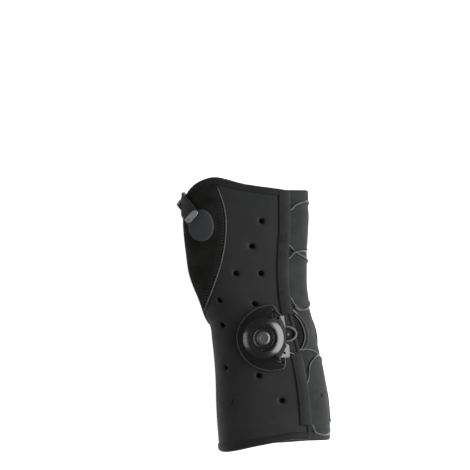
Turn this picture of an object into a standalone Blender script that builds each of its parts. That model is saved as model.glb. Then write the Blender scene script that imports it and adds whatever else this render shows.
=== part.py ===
"""A wrist brace with a lace-and-dial closure, lying on its palm side.

Metres, +Z up. +Y points to the fingers and +X to the little finger's side. The back of the hand faces up.
The origin is on the floor, under the middle of the brace's box.

The brace is one formed wrap round the wrist, open along the little finger's side. Every piece is laid on the
wrap's outer face, the skin, or on a surface parallel to it. A place on the skin is an angle round the arm
and a length along it. The angle is 0 on the back of the hand, 90 degrees at the thumb's side, 180 on the
palm and -90 at the little finger's side.
"""

import math

import bmesh
import bpy
import numpy as np
from mathutils import Matrix, Vector

# Overall sizes of the wrap
LENGTH = 0.1826  # from the forearm edge to the knuckle edge
BREADTH = 0.100  # that the columns thumb_side and little_side are shares of
DEPTH = 0.0545  # height of the back of the wrap over the floor, at the forearm edge
SOLE = 0.0013  # what is pressed flat where the palm side rests
ROUNDNESS = 2.5  # exponent of the section's outline: 2 is an ellipse, more is boxier

# Walls and clearances
SHELL_WALL = 0.0030
TONGUE_WALL = 0.0024
PATCH_WALL = 0.0010
STRIP_WALL = 0.0014
STRAP_WALL = 0.0016
TAB_WALL = 0.0012
LAYER_GAP = 0.0003  # between one layer and the next
TONGUE_GAP = 0.0005  # between the wrap's inner face and the tongue

# Edges and openings of the wrap
EDGE_INSET = 0.0120  # of the back panel's lace edge, from the little finger's side
SEAM_ANGLE = math.radians(96)  # of the line where back and palm panels part at the thumb opening
NOTCH = -0.020 * LENGTH  # where the thumb opening starts, along the arm
THUMB_CORNER = 0.0130  # length over which the thumb opening's rounded end opens
TOP_HEM = 0.0043
THUMB_HEM = 0.0032
HOLE_RADIUS = 0.00175

# Lace, its channels, and the tongue's laps under the panels
LACE_RADIUS = 0.00055
BOW_RADIUS = 0.00075
STRIP_WIDTH = 0.0070
STRIP_INSET = 0.0004
PALM_STRIP_WIDTH = 0.0080
BACK_LAP = 0.0130
PALM_LAP = 0.0100

# Strap and tab
STRAP_WIDTH = 0.0113
STRAP_HEADING = math.radians(127.2)  # seen from above, from the little finger's side
STRAP_FOLD = 0.0026  # how far the strap's fold stands out past the panels
STRAP_LAND = 0.0160  # length of strap sewn on the palm panel
STRAP_LEAVES = math.radians(66)  # angle round the arm where the strap lifts off the back panel
TAB_CENTRE = (-0.344 * BREADTH, 0.325 * LENGTH)
TAB_HALF_WIDTH = 0.0080
TAB_HALF_LENGTH = 0.0107
STRAP_START = (TAB_CENTRE[0] - 0.37 * TAB_HALF_WIDTH, TAB_CENTRE[1] + 0.35 * TAB_HALF_LENGTH)
PIPING_RADIUS = 0.0007

# The dial
DIAL_X = 0.057 * BREADTH
DIAL_Y = -0.0843 * LENGTH
KNOB_RADIUS = 0.0135
KNOB_HEIGHT = 0.0066  # of the knob itself
KNOB_WALL = 0.0010
RECESS_RADIUS = 0.0094
RECESS_DEPTH = 0.0022
RING_RADIUS = 0.0070
CAP_RADIUS = 0.0047
CAP_HEIGHT = 0.0011
CUP_WALL = 0.0013
RUNNING_GAP = 0.0004
SPOOL_HEIGHT = 0.0052
POST_RADIUS = 0.0022
BOSS_WALL = 0.0014
PULL = 0.0020  # how far the knob pops up to let the lace go
FLANGE_BRIM = 0.0085  # of the flange's disc, more than the knob's radius
FLANGE_RADIUS = KNOB_RADIUS + FLANGE_BRIM
FLANGE_SHIFT = 0.385 * KNOB_RADIUS  # of the flange's centre from the dial's axis, towards the little finger
FLANGE_WALL = 0.0017
LUG_HEIGHT = 0.0048
LUG_HOLE_RADIUS = 0.0009
LOOP_RADIUS = 0.0009
RIVET_RADIUS = 0.0016
RIVET_HEIGHT = 0.0010

# Sections of the wrap, from the forearm to the fingers. along is a share of LENGTH, thumb_side and
# little_side are shares of BREADTH, and back is a share of DEPTH. little_side is the tongue's outer face.
SECTIONS = np.array(
    [
        # along, thumb_side, little_side, back
        (-0.500, -0.237, 0.503, 1.000),
        (-0.350, -0.257, 0.495, 0.965),
        (-0.205, -0.266, 0.460, 0.935),
        (-0.095, -0.285, 0.414, 0.920),
        (-0.036, -0.303, 0.393, 0.910),
        (-0.010, -0.330, 0.381, 0.895),
        (0.055, -0.380, 0.360, 0.860),
        (0.140, -0.441, 0.348, 0.815),
        (0.225, -0.466, 0.350, 0.780),
        (0.330, -0.485, 0.360, 0.745),
        (0.440, -0.482, 0.357, 0.715),
        (0.500, -0.465, 0.350, 0.700),
    ]
)

# Edge of the back panel at the forearm and at the knuckles. across runs from the lace edge, 0, to the
# thumb's side, 1. forearm and knuckles are shares of LENGTH.
BACK_ENDS = np.array(
    [
        # across, forearm, knuckles
        (0.00, -0.453, 0.452),
        (0.16, -0.453, 0.461),
        (0.28, -0.468, 0.469),
        (0.36, -0.476, 0.480),
        (0.46, -0.485, 0.493),
        (0.56, -0.493, 0.500),
        (0.70, -0.499, 0.489),
        (0.80, -0.500, 0.473),
        (0.90, -0.498, 0.447),
        (1.00, -0.496, 0.405),
    ]
)

# The same for the palm panel, from the thumb's side, 0, to its lace edge, 1.
PALM_ENDS = np.array(
    [
        # across, forearm, knuckles
        (0.00, -0.496, 0.428),
        (0.12, -0.494, 0.452),
        (0.35, -0.484, 0.405),
        (0.65, -0.470, 0.370),
        (1.00, -0.457, 0.382),
    ]
)

# Angles of the panels' free edges, in degrees. along is a share of LENGTH.
FREE_EDGES = np.array(
    [
        # along, thumb_edge, palm_edge, palm_lace_edge
        (-0.500, 78.0, 128.0, -118.0),
        (-0.330, 78.0, 128.0, -116.0),
        (-0.150, 78.0, 128.0, -122.0),
        (0.050, 78.0, 134.0, -126.0),
        (0.160, 78.0, 148.0, -126.0),
        (0.260, 78.0, 146.0, -124.0),
        (0.340, 78.0, 130.0, -122.0),
        (0.400, 77.0, 120.0, -122.0),
        (0.500, 76.0, 120.0, -122.0),
    ]
)

# Round holes through the back panel. from_axis is a share of BREADTH and along a share of LENGTH.
BACK_HOLES = np.array(
    [
        # from_axis, along
        (0.047, 0.341),
        (-0.017, 0.249),
        (-0.127, 0.150),
        (0.043, 0.150),
        (-0.235, 0.052),
        (-0.002, 0.039),
        (-0.216, -0.038),
        (-0.194, -0.193),
        (0.025, -0.222),
        (-0.153, -0.318),
        (0.182, -0.312),
    ]
)

# Round holes through the palm panel, by the angle in degrees and along as a share of LENGTH.
PALM_HOLES = np.array(
    [
        # angle, along
        (152.0, -0.330),
        (-150.0, -0.300),
        (140.0, -0.120),
        (-152.0, -0.060),
        (-150.0, 0.180),
    ]
)

# The loop patch's sewn edge on the back panel. along is a share of LENGTH, from_axis of BREADTH.
PATCH_EDGE = np.array(
    [
        # along, from_axis
        (0.014, -0.333),
        (0.053, -0.310),
        (0.117, -0.268),
        (0.184, -0.230),
        (0.248, -0.206),
        (0.314, -0.196),
        (0.366, -0.200),
        (0.415, -0.220),
        (0.460, -0.250),
    ]
)

# Right-hand outline of the dial's lug block. along is measured from the dial's axis in shares of
# KNOB_RADIUS, and so are inner and outer, from the same axis.
LUG_OUTLINE = np.array(
    [
        # along, inner, outer
        (-0.960, 0.78, 1.18),
        (-0.900, 0.60, 1.23),
        (-0.350, 0.60, 1.14),
        (-0.275, 0.60, 1.00),
        (0.570, 0.60, 0.95),
        (0.940, 0.30, 0.90),
        (1.090, 0.74, 0.88),
    ]
)

# Outline of the dial's flange where it is cut off towards the little finger, about its own centre. Its wings
# end at the first row and the last. radius is a share of FLANGE_RADIUS.
FLANGE_CUT = np.array(
    [
        # degrees, radius
        (-67.0, 1.00),
        (-55.0, 0.72),
        (-32.0, 0.46),
        (-9.0, 0.40),
        (22.0, 0.41),
        (58.0, 0.66),
        (77.0, 0.80),
        (88.0, 1.00),
    ]
)

# Visible stretches of the lace over the tongue. across is the share of the way from the back panel's lace
# edge to the palm panel's, and along is a share of LENGTH.
LACE_ROUTES = {
    "lace_top": [(0.03, 0.380), (0.12, 0.396), (0.26, 0.408), (0.50, 0.414), (0.75, 0.400), (0.97, 0.372)],
    "lace_cross_low": [(0.03, 0.252), (0.14, 0.231), (0.30, 0.215), (0.52, 0.200), (0.76, 0.184), (0.97, 0.168)],
    "lace_cross_high": [(0.03, 0.203), (0.11, 0.224), (0.26, 0.231), (0.52, 0.232), (0.76, 0.240), (0.97, 0.255)],
    "lace_bow_upper": [(0.03, 0.066), (0.08, 0.036), (0.22, 0.018), (0.40, 0.022), (0.62, 0.042), (0.97, 0.060)],
    "lace_lower": [(0.03, -0.250), (0.08, -0.213), (0.20, -0.172), (0.42, -0.150), (0.70, -0.168), (0.97, -0.200)],
    "lace_bottom": [(0.03, -0.398), (0.12, -0.428), (0.28, -0.438), (0.50, -0.436), (0.75, -0.420), (0.97, -0.385)],
}
CROSS_HUMP = 0.0017  # how much higher the upper strand of the crossing runs there
SIDE_BOW = [(0.03, 0.012), (0.14, 0.004), (0.24, -0.028), (0.30, -0.065), (0.27, -0.100), (0.17, -0.130), (0.03, -0.142)]
PALM_BOW = [(0.97, 0.012), (0.86, 0.002), (0.77, -0.030), (0.72, -0.065), (0.75, -0.100), (0.84, -0.128), (0.97, -0.142)]

# Ends of the tongue and of the lace channels along the arm, in shares of LENGTH
TONGUE_ENDS = (-0.457, 0.4525)
UPPER_STRIP = (0.004, 0.447)
LOWER_STRIP = (-0.400, -0.134)
PALM_UPPER_STRIP = (0.004, 0.372)
PALM_LOWER_STRIP = (-0.410, -0.134)

PALETTE = {
    # name: colour, roughness, metallic
    "face_fabric": ((0.030, 0.031, 0.032), 0.85, 0.0),
    "tongue_fabric": ((0.052, 0.054, 0.053), 0.90, 0.0),
    "loop_pile": ((0.008, 0.008, 0.007), 1.0, 0.0),
    "piping": ((0.110, 0.115, 0.115), 0.70, 0.0),
    "webbing": ((0.028, 0.029, 0.029), 0.80, 0.0),
    "tab": ((0.045, 0.048, 0.050), 0.65, 0.0),
    "gloss_plastic": ((0.010, 0.010, 0.011), 0.15, 0.0),
    "satin_plastic": ((0.030, 0.031, 0.032), 0.35, 0.0),
    "lace": ((0.012, 0.012, 0.013), 0.45, 0.0),
    "rivet": ((0.300, 0.310, 0.320), 0.30, 1.0),
}


def empty_scene():
    """Removes whatever the file holds, so that the script can be run again."""
    for thing in list(bpy.data.objects):
        bpy.data.objects.remove(thing)
    for group in list(bpy.data.collections):
        bpy.data.collections.remove(group)


def new_collection(name):
    group = bpy.data.collections.new(name)
    bpy.context.scene.collection.children.link(group)
    return group


def new_material(name):
    """A Principled material with the colour, roughness and metallic value that PALETTE gives."""
    colour, roughness, metallic = PALETTE[name]
    material = bpy.data.materials.new(name)
    material.use_nodes = True
    shader = material.node_tree.nodes["Principled BSDF"]
    shader.inputs["Base Color"].default_value = (*colour, 1.0)
    shader.inputs["Roughness"].default_value = roughness
    shader.inputs["Metallic"].default_value = metallic
    material.diffuse_color = (*colour, 1.0)
    return material


def smooth_curve(knots, values, at):
    """Values at any place, by cubic pieces that pass through each knot with the slope of its neighbours."""
    at = np.clip(at, knots[0], knots[-1])
    slopes = np.gradient(values, knots)
    left = np.clip(np.searchsorted(knots, at, side="right") - 1, 0, len(knots) - 2)
    span = knots[left + 1] - knots[left]
    t = (at - knots[left]) / span
    start = (2 * t**3 - 3 * t**2 + 1) * values[left] + (t**3 - 2 * t**2 + t) * span * slopes[left]
    end = (3 * t**2 - 2 * t**3) * values[left + 1] + (t**3 - t**2) * span * slopes[left + 1]
    return start + end


def column(table, index, at):
    return smooth_curve(table[:, 0], table[:, index], np.asarray(at, float))


def section(y):
    """Middle, half-width, height of the back and half-height of the skin at a length along the arm."""
    share = np.asarray(y, float) / LENGTH
    thumb_side = column(SECTIONS, 1, share) * BREADTH
    little_side = column(SECTIONS, 2, share) * BREADTH + SHELL_WALL + TONGUE_GAP
    back = column(SECTIONS, 3, share) * DEPTH
    return (thumb_side + little_side) / 2, (little_side - thumb_side) / 2, back, (back + SOLE) / 2


def bulge(value):
    return np.sign(value) * np.abs(value) ** (2 / ROUNDNESS)


def skin(angle, y, proud=0.0):
    """Points of the skin, moved out by proud. The section is a rounded box, pressed flat on the floor."""
    middle, half_width, back, half_height = section(y)
    x = middle - (half_width + proud) * bulge(np.sin(angle))
    z = back - half_height + (half_height + proud) * bulge(np.cos(angle))
    z = np.maximum(z, -np.asarray(proud))
    return np.stack(np.broadcast_arrays(x, y, z), axis=-1)


def angle_at(x, y):
    """Angle of the point of the skin's upper half that is seen at x from straight above."""
    middle, half_width, _, _ = section(y)
    share = np.clip((middle - x) / half_width, -0.999, 0.999)
    return np.arcsin(np.sign(share) * np.abs(share) ** (ROUNDNESS / 2))


def step_round(angle, y, distance, steps=8):
    """Angle after a walk round the arm of the given length, positive towards the thumb's side."""
    angle = np.asarray(angle, float) + 0 * np.asarray(y, float)
    small = 0.002
    for _ in range(steps):
        pace = np.linalg.norm(skin(angle + small, y) - skin(angle - small, y), axis=-1) / (2 * small)
        angle = angle + distance / steps / pace
    return angle


def lace_edge(y):
    """Angle of the back panel's lace edge."""
    middle, half_width, _, _ = section(y)
    side = middle + half_width - SHELL_WALL - TONGUE_GAP
    return angle_at(side - EDGE_INSET, y)


def palm_lace_edge(y):
    return np.radians(column(FREE_EDGES, 3, np.asarray(y) / LENGTH))


def thumb_opening(y):
    """How far the thumb opening has opened, 0 at the notch and 1 past its rounded end."""
    run = np.clip((y - NOTCH) / THUMB_CORNER, 0, 1)
    return np.sqrt(1 - (1 - run) ** 2)


def thumb_edge(y):
    """Angle of the back panel's edge along the thumb opening, or of the seam below it."""
    free = np.radians(column(FREE_EDGES, 1, np.asarray(y) / LENGTH))
    return SEAM_ANGLE + (free - SEAM_ANGLE) * thumb_opening(y)


def palm_edge(y):
    free = np.radians(column(FREE_EDGES, 2, np.asarray(y) / LENGTH))
    return SEAM_ANGLE + (free - SEAM_ANGLE) * thumb_opening(y)


def back_angle(across, y):
    return lace_edge(y) + (thumb_edge(y) - lace_edge(y)) * across


def palm_angle(across, y):
    """Angle on the palm panel. The lace edge is counted on past 180 degrees."""
    end = palm_lace_edge(y) + 2 * math.pi
    return palm_edge(y) + (end - palm_edge(y)) * across


def knuckle_edge(across):
    return column(BACK_ENDS, 2, across) * LENGTH


def grid_faces(rows, columns, first=0):
    """Quads of a grid numbered row by row. They face out where columns run towards the thumb's side."""
    faces = []
    for row in range(rows - 1):
        for col in range(columns - 1):
            corner = first + row * columns + col
            faces.append((corner, corner + columns, corner + columns + 1, corner + 1))
    return faces


def surface_object(name, grids, material, group, thickness, outward):
    """An open surface from one or more grids of points, given a wall by Solidify."""
    points = []
    faces = []
    for grid in grids:
        rows, columns, _ = grid.shape
        faces += grid_faces(rows, columns, len(points))
        points += [tuple(point) for point in grid.reshape(-1, 3)]
    mesh = bpy.data.meshes.new(name)
    mesh.from_pydata(points, [], faces)
    cage = bmesh.new()
    cage.from_mesh(mesh)
    bmesh.ops.remove_doubles(cage, verts=cage.verts, dist=0.00001)
    cage.to_mesh(mesh)
    cage.free()
    return walled_object(name, mesh, material, group, thickness, outward)


def walled_object(name, mesh, material, group, thickness, outward):
    """An object from an open surface, with a wall on its outer or its inner side."""
    thing = bpy.data.objects.new(name, mesh)
    group.objects.link(thing)
    mesh.materials.append(material)
    mesh.shade_smooth()
    wall = thing.modifiers.new("wall", "SOLIDIFY")
    wall.thickness = thickness
    wall.offset = 1.0 if outward else -1.0
    wall.use_even_offset = True
    return thing


def tube_object(name, points, radius, material, group):
    """A round tube along the points, as a bevelled curve with filled caps."""
    curve = bpy.data.curves.new(name, "CURVE")
    curve.dimensions = "3D"
    curve.bevel_depth = radius
    curve.bevel_resolution = 2
    curve.use_fill_caps = True
    spline = curve.splines.new("POLY")
    spline.points.add(len(points) - 1)
    for spot, point in zip(spline.points, points):
        spot.co = (*point, 1.0)
    thing = bpy.data.objects.new(name, curve)
    group.objects.link(thing)
    curve.materials.append(material)
    return thing


def turned_object(name, profile, segments, material, group, centre):
    """A turned solid. The profile's points are radius and height, down the outer side and back inside."""
    mesh = bpy.data.meshes.new(name)
    points = [(radius, 0.0, height) for radius, height in profile]
    last = len(points) - 1
    edges = [(i, i + 1) for i in range(last)]
    if profile[0][0] > 0 or profile[-1][0] > 0:
        edges.append((last, 0))
    mesh.from_pydata(points, edges, [])
    thing = bpy.data.objects.new(name, mesh)
    group.objects.link(thing)
    mesh.materials.append(material)
    thing.location = centre
    screw = thing.modifiers.new("turn", "SCREW")
    screw.steps = segments
    screw.render_steps = segments
    screw.use_merge_vertices = True
    screw.merge_threshold = 0.00001
    screw.use_smooth_shade = True
    return thing


def round_cutter(name, centre, normal, radius, length, group, sides=12):
    """A cylinder that cuts a round hole along a normal."""
    mesh = bpy.data.meshes.new(name)
    cage = bmesh.new()
    bmesh.ops.create_cone(cage, cap_ends=True, segments=sides, radius1=radius, radius2=radius, depth=length)
    cage.to_mesh(mesh)
    cage.free()
    thing = bpy.data.objects.new(name, mesh)
    group.objects.link(thing)
    turn = Vector((0, 0, 1)).rotation_difference(Vector(normal)).to_matrix().to_4x4()
    thing.matrix_world = Matrix.Translation(Vector(centre)) @ turn
    thing.hide_render = True
    thing.display_type = "WIRE"
    return thing


def boolean_all(thing, group, operation):
    tool = thing.modifiers.new(operation.lower(), "BOOLEAN")
    tool.operation = operation
    tool.solver = "EXACT"
    tool.operand_type = "COLLECTION"
    tool.collection = group
    return tool


def normal_at(angle, y):
    """Outward normal of the skin, from its slopes round and along the arm."""
    small = 0.0004
    turn = 0.01
    along = skin(angle, y + small) - skin(angle, y - small)
    around = skin(angle + turn, y) - skin(angle - turn, y)
    normal = np.cross(along, around)
    return normal / np.linalg.norm(normal)


def panel_grid(columns, arm_rows, hand_rows, ends, angle):
    """Rows of points of a panel: arm rows up to the notch, then hand rows up to the knuckle edge."""
    across = np.linspace(0, 1, columns)
    forearm = column(ends, 1, across) * LENGTH
    knuckles = column(ends, 2, across) * LENGTH
    low = np.linspace(0, 1, arm_rows)[:, None]
    high = (np.linspace(0, 1, hand_rows) ** 1.25)[1:, None]
    y = np.concatenate([forearm + (NOTCH - forearm) * low, NOTCH + (knuckles - NOTCH) * high])
    return skin(angle(across, y), y)


def make_shell(material, group, cutters):
    """The formed wrap: back panel and palm panel, one wall, parted by the thumb opening."""
    arm_rows = 11
    hand_rows = 12
    back = panel_grid(20, arm_rows, hand_rows, BACK_ENDS, back_angle)
    palm = panel_grid(18, arm_rows, hand_rows, PALM_ENDS, palm_angle)
    shell = surface_object("shell", [back, palm], material, group, SHELL_WALL, outward=False)
    places = [(angle_at(x * BREADTH, y * LENGTH), y * LENGTH) for x, y in BACK_HOLES]
    places += [(math.radians(angle), y * LENGTH) for angle, y in PALM_HOLES]
    for number, (angle, y) in enumerate(places):
        round_cutter(f"hole_{number}", skin(angle, y), normal_at(angle, y), HOLE_RADIUS, 4 * SHELL_WALL, cutters)
    boolean_all(shell, cutters, "DIFFERENCE")
    return shell


def make_tongue(material, group):
    """The soft liner that bridges the open side, lapped under both panels."""
    across = np.linspace(0, 1, 15)
    rows = np.linspace(0, 1, 18)[:, None]
    y = LENGTH * (TONGUE_ENDS[0] + (TONGUE_ENDS[1] - TONGUE_ENDS[0]) * rows) + 0 * across
    start = step_round(lace_edge(y), y, BACK_LAP)
    end = step_round(palm_lace_edge(y), y, -PALM_LAP)
    points = skin(start + (end - start) * across, y, -(SHELL_WALL + TONGUE_GAP))
    return surface_object("tongue", [points[:, ::-1]], material, group, TONGUE_WALL, outward=False)


def patch_side(y):
    """Angle of the patch's edge next to the thumb opening's hem."""
    return step_round(thumb_edge(y), y, -THUMB_HEM)


def patch_seam(y):
    """Angle of the patch's sewn edge."""
    return angle_at(column(PATCH_EDGE, 1, np.asarray(y) / LENGTH) * BREADTH, y)


def patch_top(across):
    """Where the patch ends below the knuckle hem, for a share across it from the seam to the hem."""
    near_top = LENGTH * 0.44
    angle = patch_seam(near_top) + (patch_side(near_top) - patch_seam(near_top)) * across
    share = (angle - lace_edge(near_top)) / (thumb_edge(near_top) - lace_edge(near_top))
    return knuckle_edge(np.clip(share, 0, 1)) - TOP_HEM


def make_loop_patch(material, group):
    """The lens of loop pile between the seam and the hems."""
    across = np.linspace(0, 1, 8)
    rows = np.linspace(0, 1, 14)[:, None]
    bottom = LENGTH * (PATCH_EDGE[0, 0] + 0.012)
    y = bottom + (patch_top(across) - bottom) * rows
    angle = patch_seam(y) + (patch_side(y) - patch_seam(y)) * across
    return surface_object(
        "loop_patch", [skin(angle, y, LAYER_GAP)], material, group, PATCH_WALL, outward=True
    )


def make_piping(material, group):
    """The round seam cord along the patch's sewn edge."""
    y = np.linspace(PATCH_EDGE[0, 0], PATCH_EDGE[-1, 0], 16) * LENGTH
    angle = step_round(patch_seam(y), y, -(PIPING_RADIUS + 3 * LAYER_GAP))
    points = skin(angle, y, LAYER_GAP + PIPING_RADIUS)
    return tube_object("patch_piping", points, PIPING_RADIUS, material, group)


def make_strip(name, ends, near, far, material, group):
    """A lace channel along a panel's lace edge, between two angles that follow the edge."""
    y = np.linspace(ends[0], ends[1], 14)[:, None] * LENGTH
    across = np.linspace(0, 1, 4)
    angle = near(y) + (far(y) - near(y)) * across
    points = skin(angle, y + 0 * across, LAYER_GAP)
    return surface_object(name, [points], material, group, STRIP_WALL, outward=True)


def make_strips(material, group):
    def back_near(y):
        return step_round(lace_edge(y), y, STRIP_INSET)

    def back_far(y):
        return step_round(lace_edge(y), y, STRIP_INSET + STRIP_WIDTH)

    def palm_near(y):
        return step_round(palm_lace_edge(y), y, -STRIP_INSET - PALM_STRIP_WIDTH)

    def palm_far(y):
        return step_round(palm_lace_edge(y), y, -STRIP_INSET)

    make_strip("dorsal_strip_upper", UPPER_STRIP, back_near, back_far, material, group)
    make_strip("dorsal_strip_lower", LOWER_STRIP, back_near, back_far, material, group)
    make_strip("palmar_strip_upper", PALM_UPPER_STRIP, palm_near, palm_far, material, group)
    make_strip("palmar_strip_lower", PALM_LOWER_STRIP, palm_near, palm_far, material, group)


def lace_points(route, radius, count):
    """Points along a stretch of lace: high at the channels that it leaves, and close on the tongue between."""
    knots = np.linspace(0, 1, len(route))
    t = np.linspace(0, 1, count)
    across = smooth_curve(knots, np.array([spot[0] for spot in route]), t)
    y = smooth_curve(knots, np.array([spot[1] for spot in route]), t) * LENGTH
    angle = lace_edge(y) + (palm_lace_edge(y) - lace_edge(y)) * across
    low = radius + LAYER_GAP - SHELL_WALL - TONGUE_GAP
    high = LAYER_GAP + STRIP_WALL / 2
    nearness = np.clip(1 - np.minimum(across, 1 - across) / 0.16, 0, 1)
    return skin(angle, y, low + (high - low) * (3 * nearness**2 - 2 * nearness**3))


def make_laces(material, group):
    for name, route in LACE_ROUTES.items():
        points = lace_points(route, LACE_RADIUS, 13)
        if name == "lace_cross_high":
            crossing = lace_points(LACE_ROUTES["lace_cross_low"], LACE_RADIUS, 97)[:, None]
            apart = np.linalg.norm(points[:, :2] - crossing[..., :2], axis=-1).min(axis=0)
            points[:, 2] += CROSS_HUMP * np.exp(-((apart / (6 * LACE_RADIUS)) ** 2))
        tube_object(name, points, LACE_RADIUS, material, group)
    tube_object("lace_side_bow", lace_points(SIDE_BOW, BOW_RADIUS, 14), BOW_RADIUS, material, group)
    tube_object("lace_palm_bow", lace_points(PALM_BOW, BOW_RADIUS, 14), BOW_RADIUS, material, group)


def make_tab(material, group):
    """The oval hook tab on the patch, an egg a little fuller at its lower end."""
    turns = 20
    rings = 5
    theta = np.linspace(0, 2 * math.pi, turns, endpoint=False)
    rho = np.linspace(0, 1, rings)[1:, None]
    egg = 1 - 0.06 * np.sin(theta)
    x = TAB_CENTRE[0] + TAB_HALF_WIDTH * rho * np.cos(theta) * egg
    y = TAB_CENTRE[1] + TAB_HALF_LENGTH * rho * np.sin(theta)
    proud = 2 * LAYER_GAP + PATCH_WALL
    return disc_object("hook_tab", TAB_CENTRE, x, y, proud, TAB_WALL, material, group)


def disc_object(name, centre, x, y, proud, thickness, material, group):
    """A plate with a round or oval outline that follows the skin, from rings of points seen from above."""
    rings, turns = x.shape
    middle = skin(angle_at(centre[0], centre[1]), centre[1], proud)
    points = [tuple(middle)] + [tuple(point) for point in skin(angle_at(x, y), y, proud).reshape(-1, 3)]
    faces = [(0, 1 + i, 1 + (i + 1) % turns) for i in range(turns)]
    for ring in range(rings - 1):
        for i in range(turns):
            here = 1 + ring * turns + i
            there = 1 + ring * turns + (i + 1) % turns
            faces.append((here, here + turns, there + turns, there))
    mesh = bpy.data.meshes.new(name)
    mesh.from_pydata(points, [], faces)
    return walled_object(name, mesh, material, group, thickness, outward=True)


def strap_lane(aside):
    """One lengthwise line of the strap: over the tab and patch, down past the panels, under the palm."""
    heading = np.array([math.cos(STRAP_HEADING), math.sin(STRAP_HEADING)])
    left = np.array([-heading[1], heading[0]])
    start = np.array(STRAP_START) + left * aside
    proud = 3 * LAYER_GAP + PATCH_WALL + TAB_WALL
    reach = np.linspace(0, 3 * STRAP_WIDTH, 301)
    walk = start + heading * reach[:, None]
    leave = reach[angle_at(walk[:, 0], walk[:, 1]) < STRAP_LEAVES][-1]
    upper = start + heading * np.linspace(0, leave, 7)[:, None]
    over = skin(angle_at(upper[:, 0], upper[:, 1]), upper[:, 1], proud)
    lower = start + heading * np.linspace(leave, leave - STRAP_LAND, 7)[:, None]
    under = skin(math.pi - angle_at(lower[:, 0], lower[:, 1]), lower[:, 1], LAYER_GAP)
    t = np.linspace(0, 1, 9)[1:-1, None]
    swing = 6 * STRAP_FOLD  # a cubic bulges by a quarter of its end slopes, two thirds of which point outwards
    out_top = (over[-1] - over[-2]) / np.linalg.norm(over[-1] - over[-2]) * swing
    out_low = (under[1] - under[0]) / np.linalg.norm(under[1] - under[0]) * swing
    turn = (2 * t**3 - 3 * t**2 + 1) * over[-1] + (t**3 - 2 * t**2 + t) * out_top
    turn += (3 * t**2 - 2 * t**3) * under[0] + (t**3 - t**2) * out_low
    return np.concatenate([over, turn, under])


def make_strap(material, group):
    """The elastic webbing through the thumb web."""
    lanes = np.linspace(-STRAP_WIDTH / 2, STRAP_WIDTH / 2, 5)
    points = np.stack([strap_lane(aside) for aside in lanes], axis=1)
    return surface_object("thumb_strap", [points], material, group, STRAP_WALL, outward=True)


def dial_floor():
    """Height of the skin under the dial's axis."""
    return float(skin(angle_at(DIAL_X, DIAL_Y), DIAL_Y)[2])


def make_dial_base(material, group, joined, bores):
    """Flange with two wings, lug block and the cup that the spool turns in, fused into one piece."""
    arc = np.linspace(FLANGE_CUT[-1, 0], FLANGE_CUT[0, 0] + 360.0, 20)[1:-1]
    theta = np.radians(np.concatenate([FLANGE_CUT[:, 0], arc]))
    radius = FLANGE_RADIUS * np.concatenate([FLANGE_CUT[:, 1], np.ones(len(arc))])
    rho = np.linspace(0, 1, 6)[1:, None]
    centre = (DIAL_X + FLANGE_SHIFT, DIAL_Y)
    x = centre[0] + radius * rho * np.cos(theta)
    y = centre[1] + radius * rho * np.sin(theta)
    base = disc_object("dial_base", centre, x, y, LAYER_GAP, FLANGE_WALL, material, group)
    share = np.linspace(0, 1, 6)
    y = DIAL_Y + LUG_OUTLINE[:, 0, None] * KNOB_RADIUS
    x = DIAL_X + (LUG_OUTLINE[:, 1, None] + (LUG_OUTLINE[:, 2] - LUG_OUTLINE[:, 1])[:, None] * share) * KNOB_RADIUS
    y = y + 0 * x
    lugs = skin(angle_at(x, y), y, LAYER_GAP + FLANGE_WALL / 2)
    block = surface_object("lug_block", [lugs[:, ::-1]], material, joined, LUG_HEIGHT, outward=True)
    block.hide_render = True
    block.display_type = "WIRE"
    floor = dial_floor()
    cup_radius = KNOB_RADIUS - KNOB_WALL - RUNNING_GAP
    bottom = floor + LAYER_GAP + 0.3 * FLANGE_WALL
    top = floor + knob_bottom() + 0.35 * KNOB_HEIGHT
    up = (0, 0, 1)
    middle = (DIAL_X, DIAL_Y, (bottom + top) / 2)
    round_cutter("cup", middle, up, cup_radius, top - bottom, joined, sides=32)
    boolean_all(base, joined, "UNION")
    bore_floor = floor + LAYER_GAP + 0.8 * FLANGE_WALL
    middle = (DIAL_X, DIAL_Y, bore_floor + KNOB_HEIGHT)
    round_cutter("cup_bore", middle, up, cup_radius - CUP_WALL, 2 * KNOB_HEIGHT, bores, sides=32)
    for number, (aside, along) in enumerate([(0.68, 0.965), (1.02, -0.72)]):
        x = DIAL_X + aside * KNOB_RADIUS
        y = DIAL_Y + along * KNOB_RADIUS
        spot = skin(angle_at(x, y), y, LAYER_GAP + FLANGE_WALL + LUG_HEIGHT)
        round_cutter(f"lug_hole_{number}", spot, up, LUG_HOLE_RADIUS, LUG_HEIGHT, bores, sides=10)
    boolean_all(base, bores, "DIFFERENCE")
    return base


def knob_bottom():
    """Height of the knob's skirt over the skin under the dial's axis, clear of the lug block."""
    return LAYER_GAP + FLANGE_WALL / 2 + LUG_HEIGHT + RUNNING_GAP + LAYER_GAP


def make_spool(material, group):
    """The hidden reel: a grooved spool with a post that carries the knob."""
    radius = KNOB_RADIUS - KNOB_WALL - 2 * RUNNING_GAP - CUP_WALL
    bottom = LAYER_GAP + 0.8 * FLANGE_WALL + LAYER_GAP
    top = bottom + SPOOL_HEIGHT
    lip = 0.2 * SPOOL_HEIGHT
    profile = [
        (0.0, boss_bottom() + PULL + LAYER_GAP),
        (POST_RADIUS, boss_bottom() + PULL + LAYER_GAP),
        (POST_RADIUS, top),
        (radius, top),
        (radius, top - lip),
        (0.75 * radius, top - lip),
        (0.75 * radius, bottom + lip),
        (radius, bottom + lip),
        (radius, bottom),
        (0.0, bottom),
    ]
    return turned_object("reel_spool", profile, 32, material, group, (DIAL_X, DIAL_Y, dial_floor()))


def boss_bottom():
    """Height of the knob's inner boss over the skin, just over the spool."""
    return LAYER_GAP + 0.8 * FLANGE_WALL + LAYER_GAP + SPOOL_HEIGHT + LAYER_GAP


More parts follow.
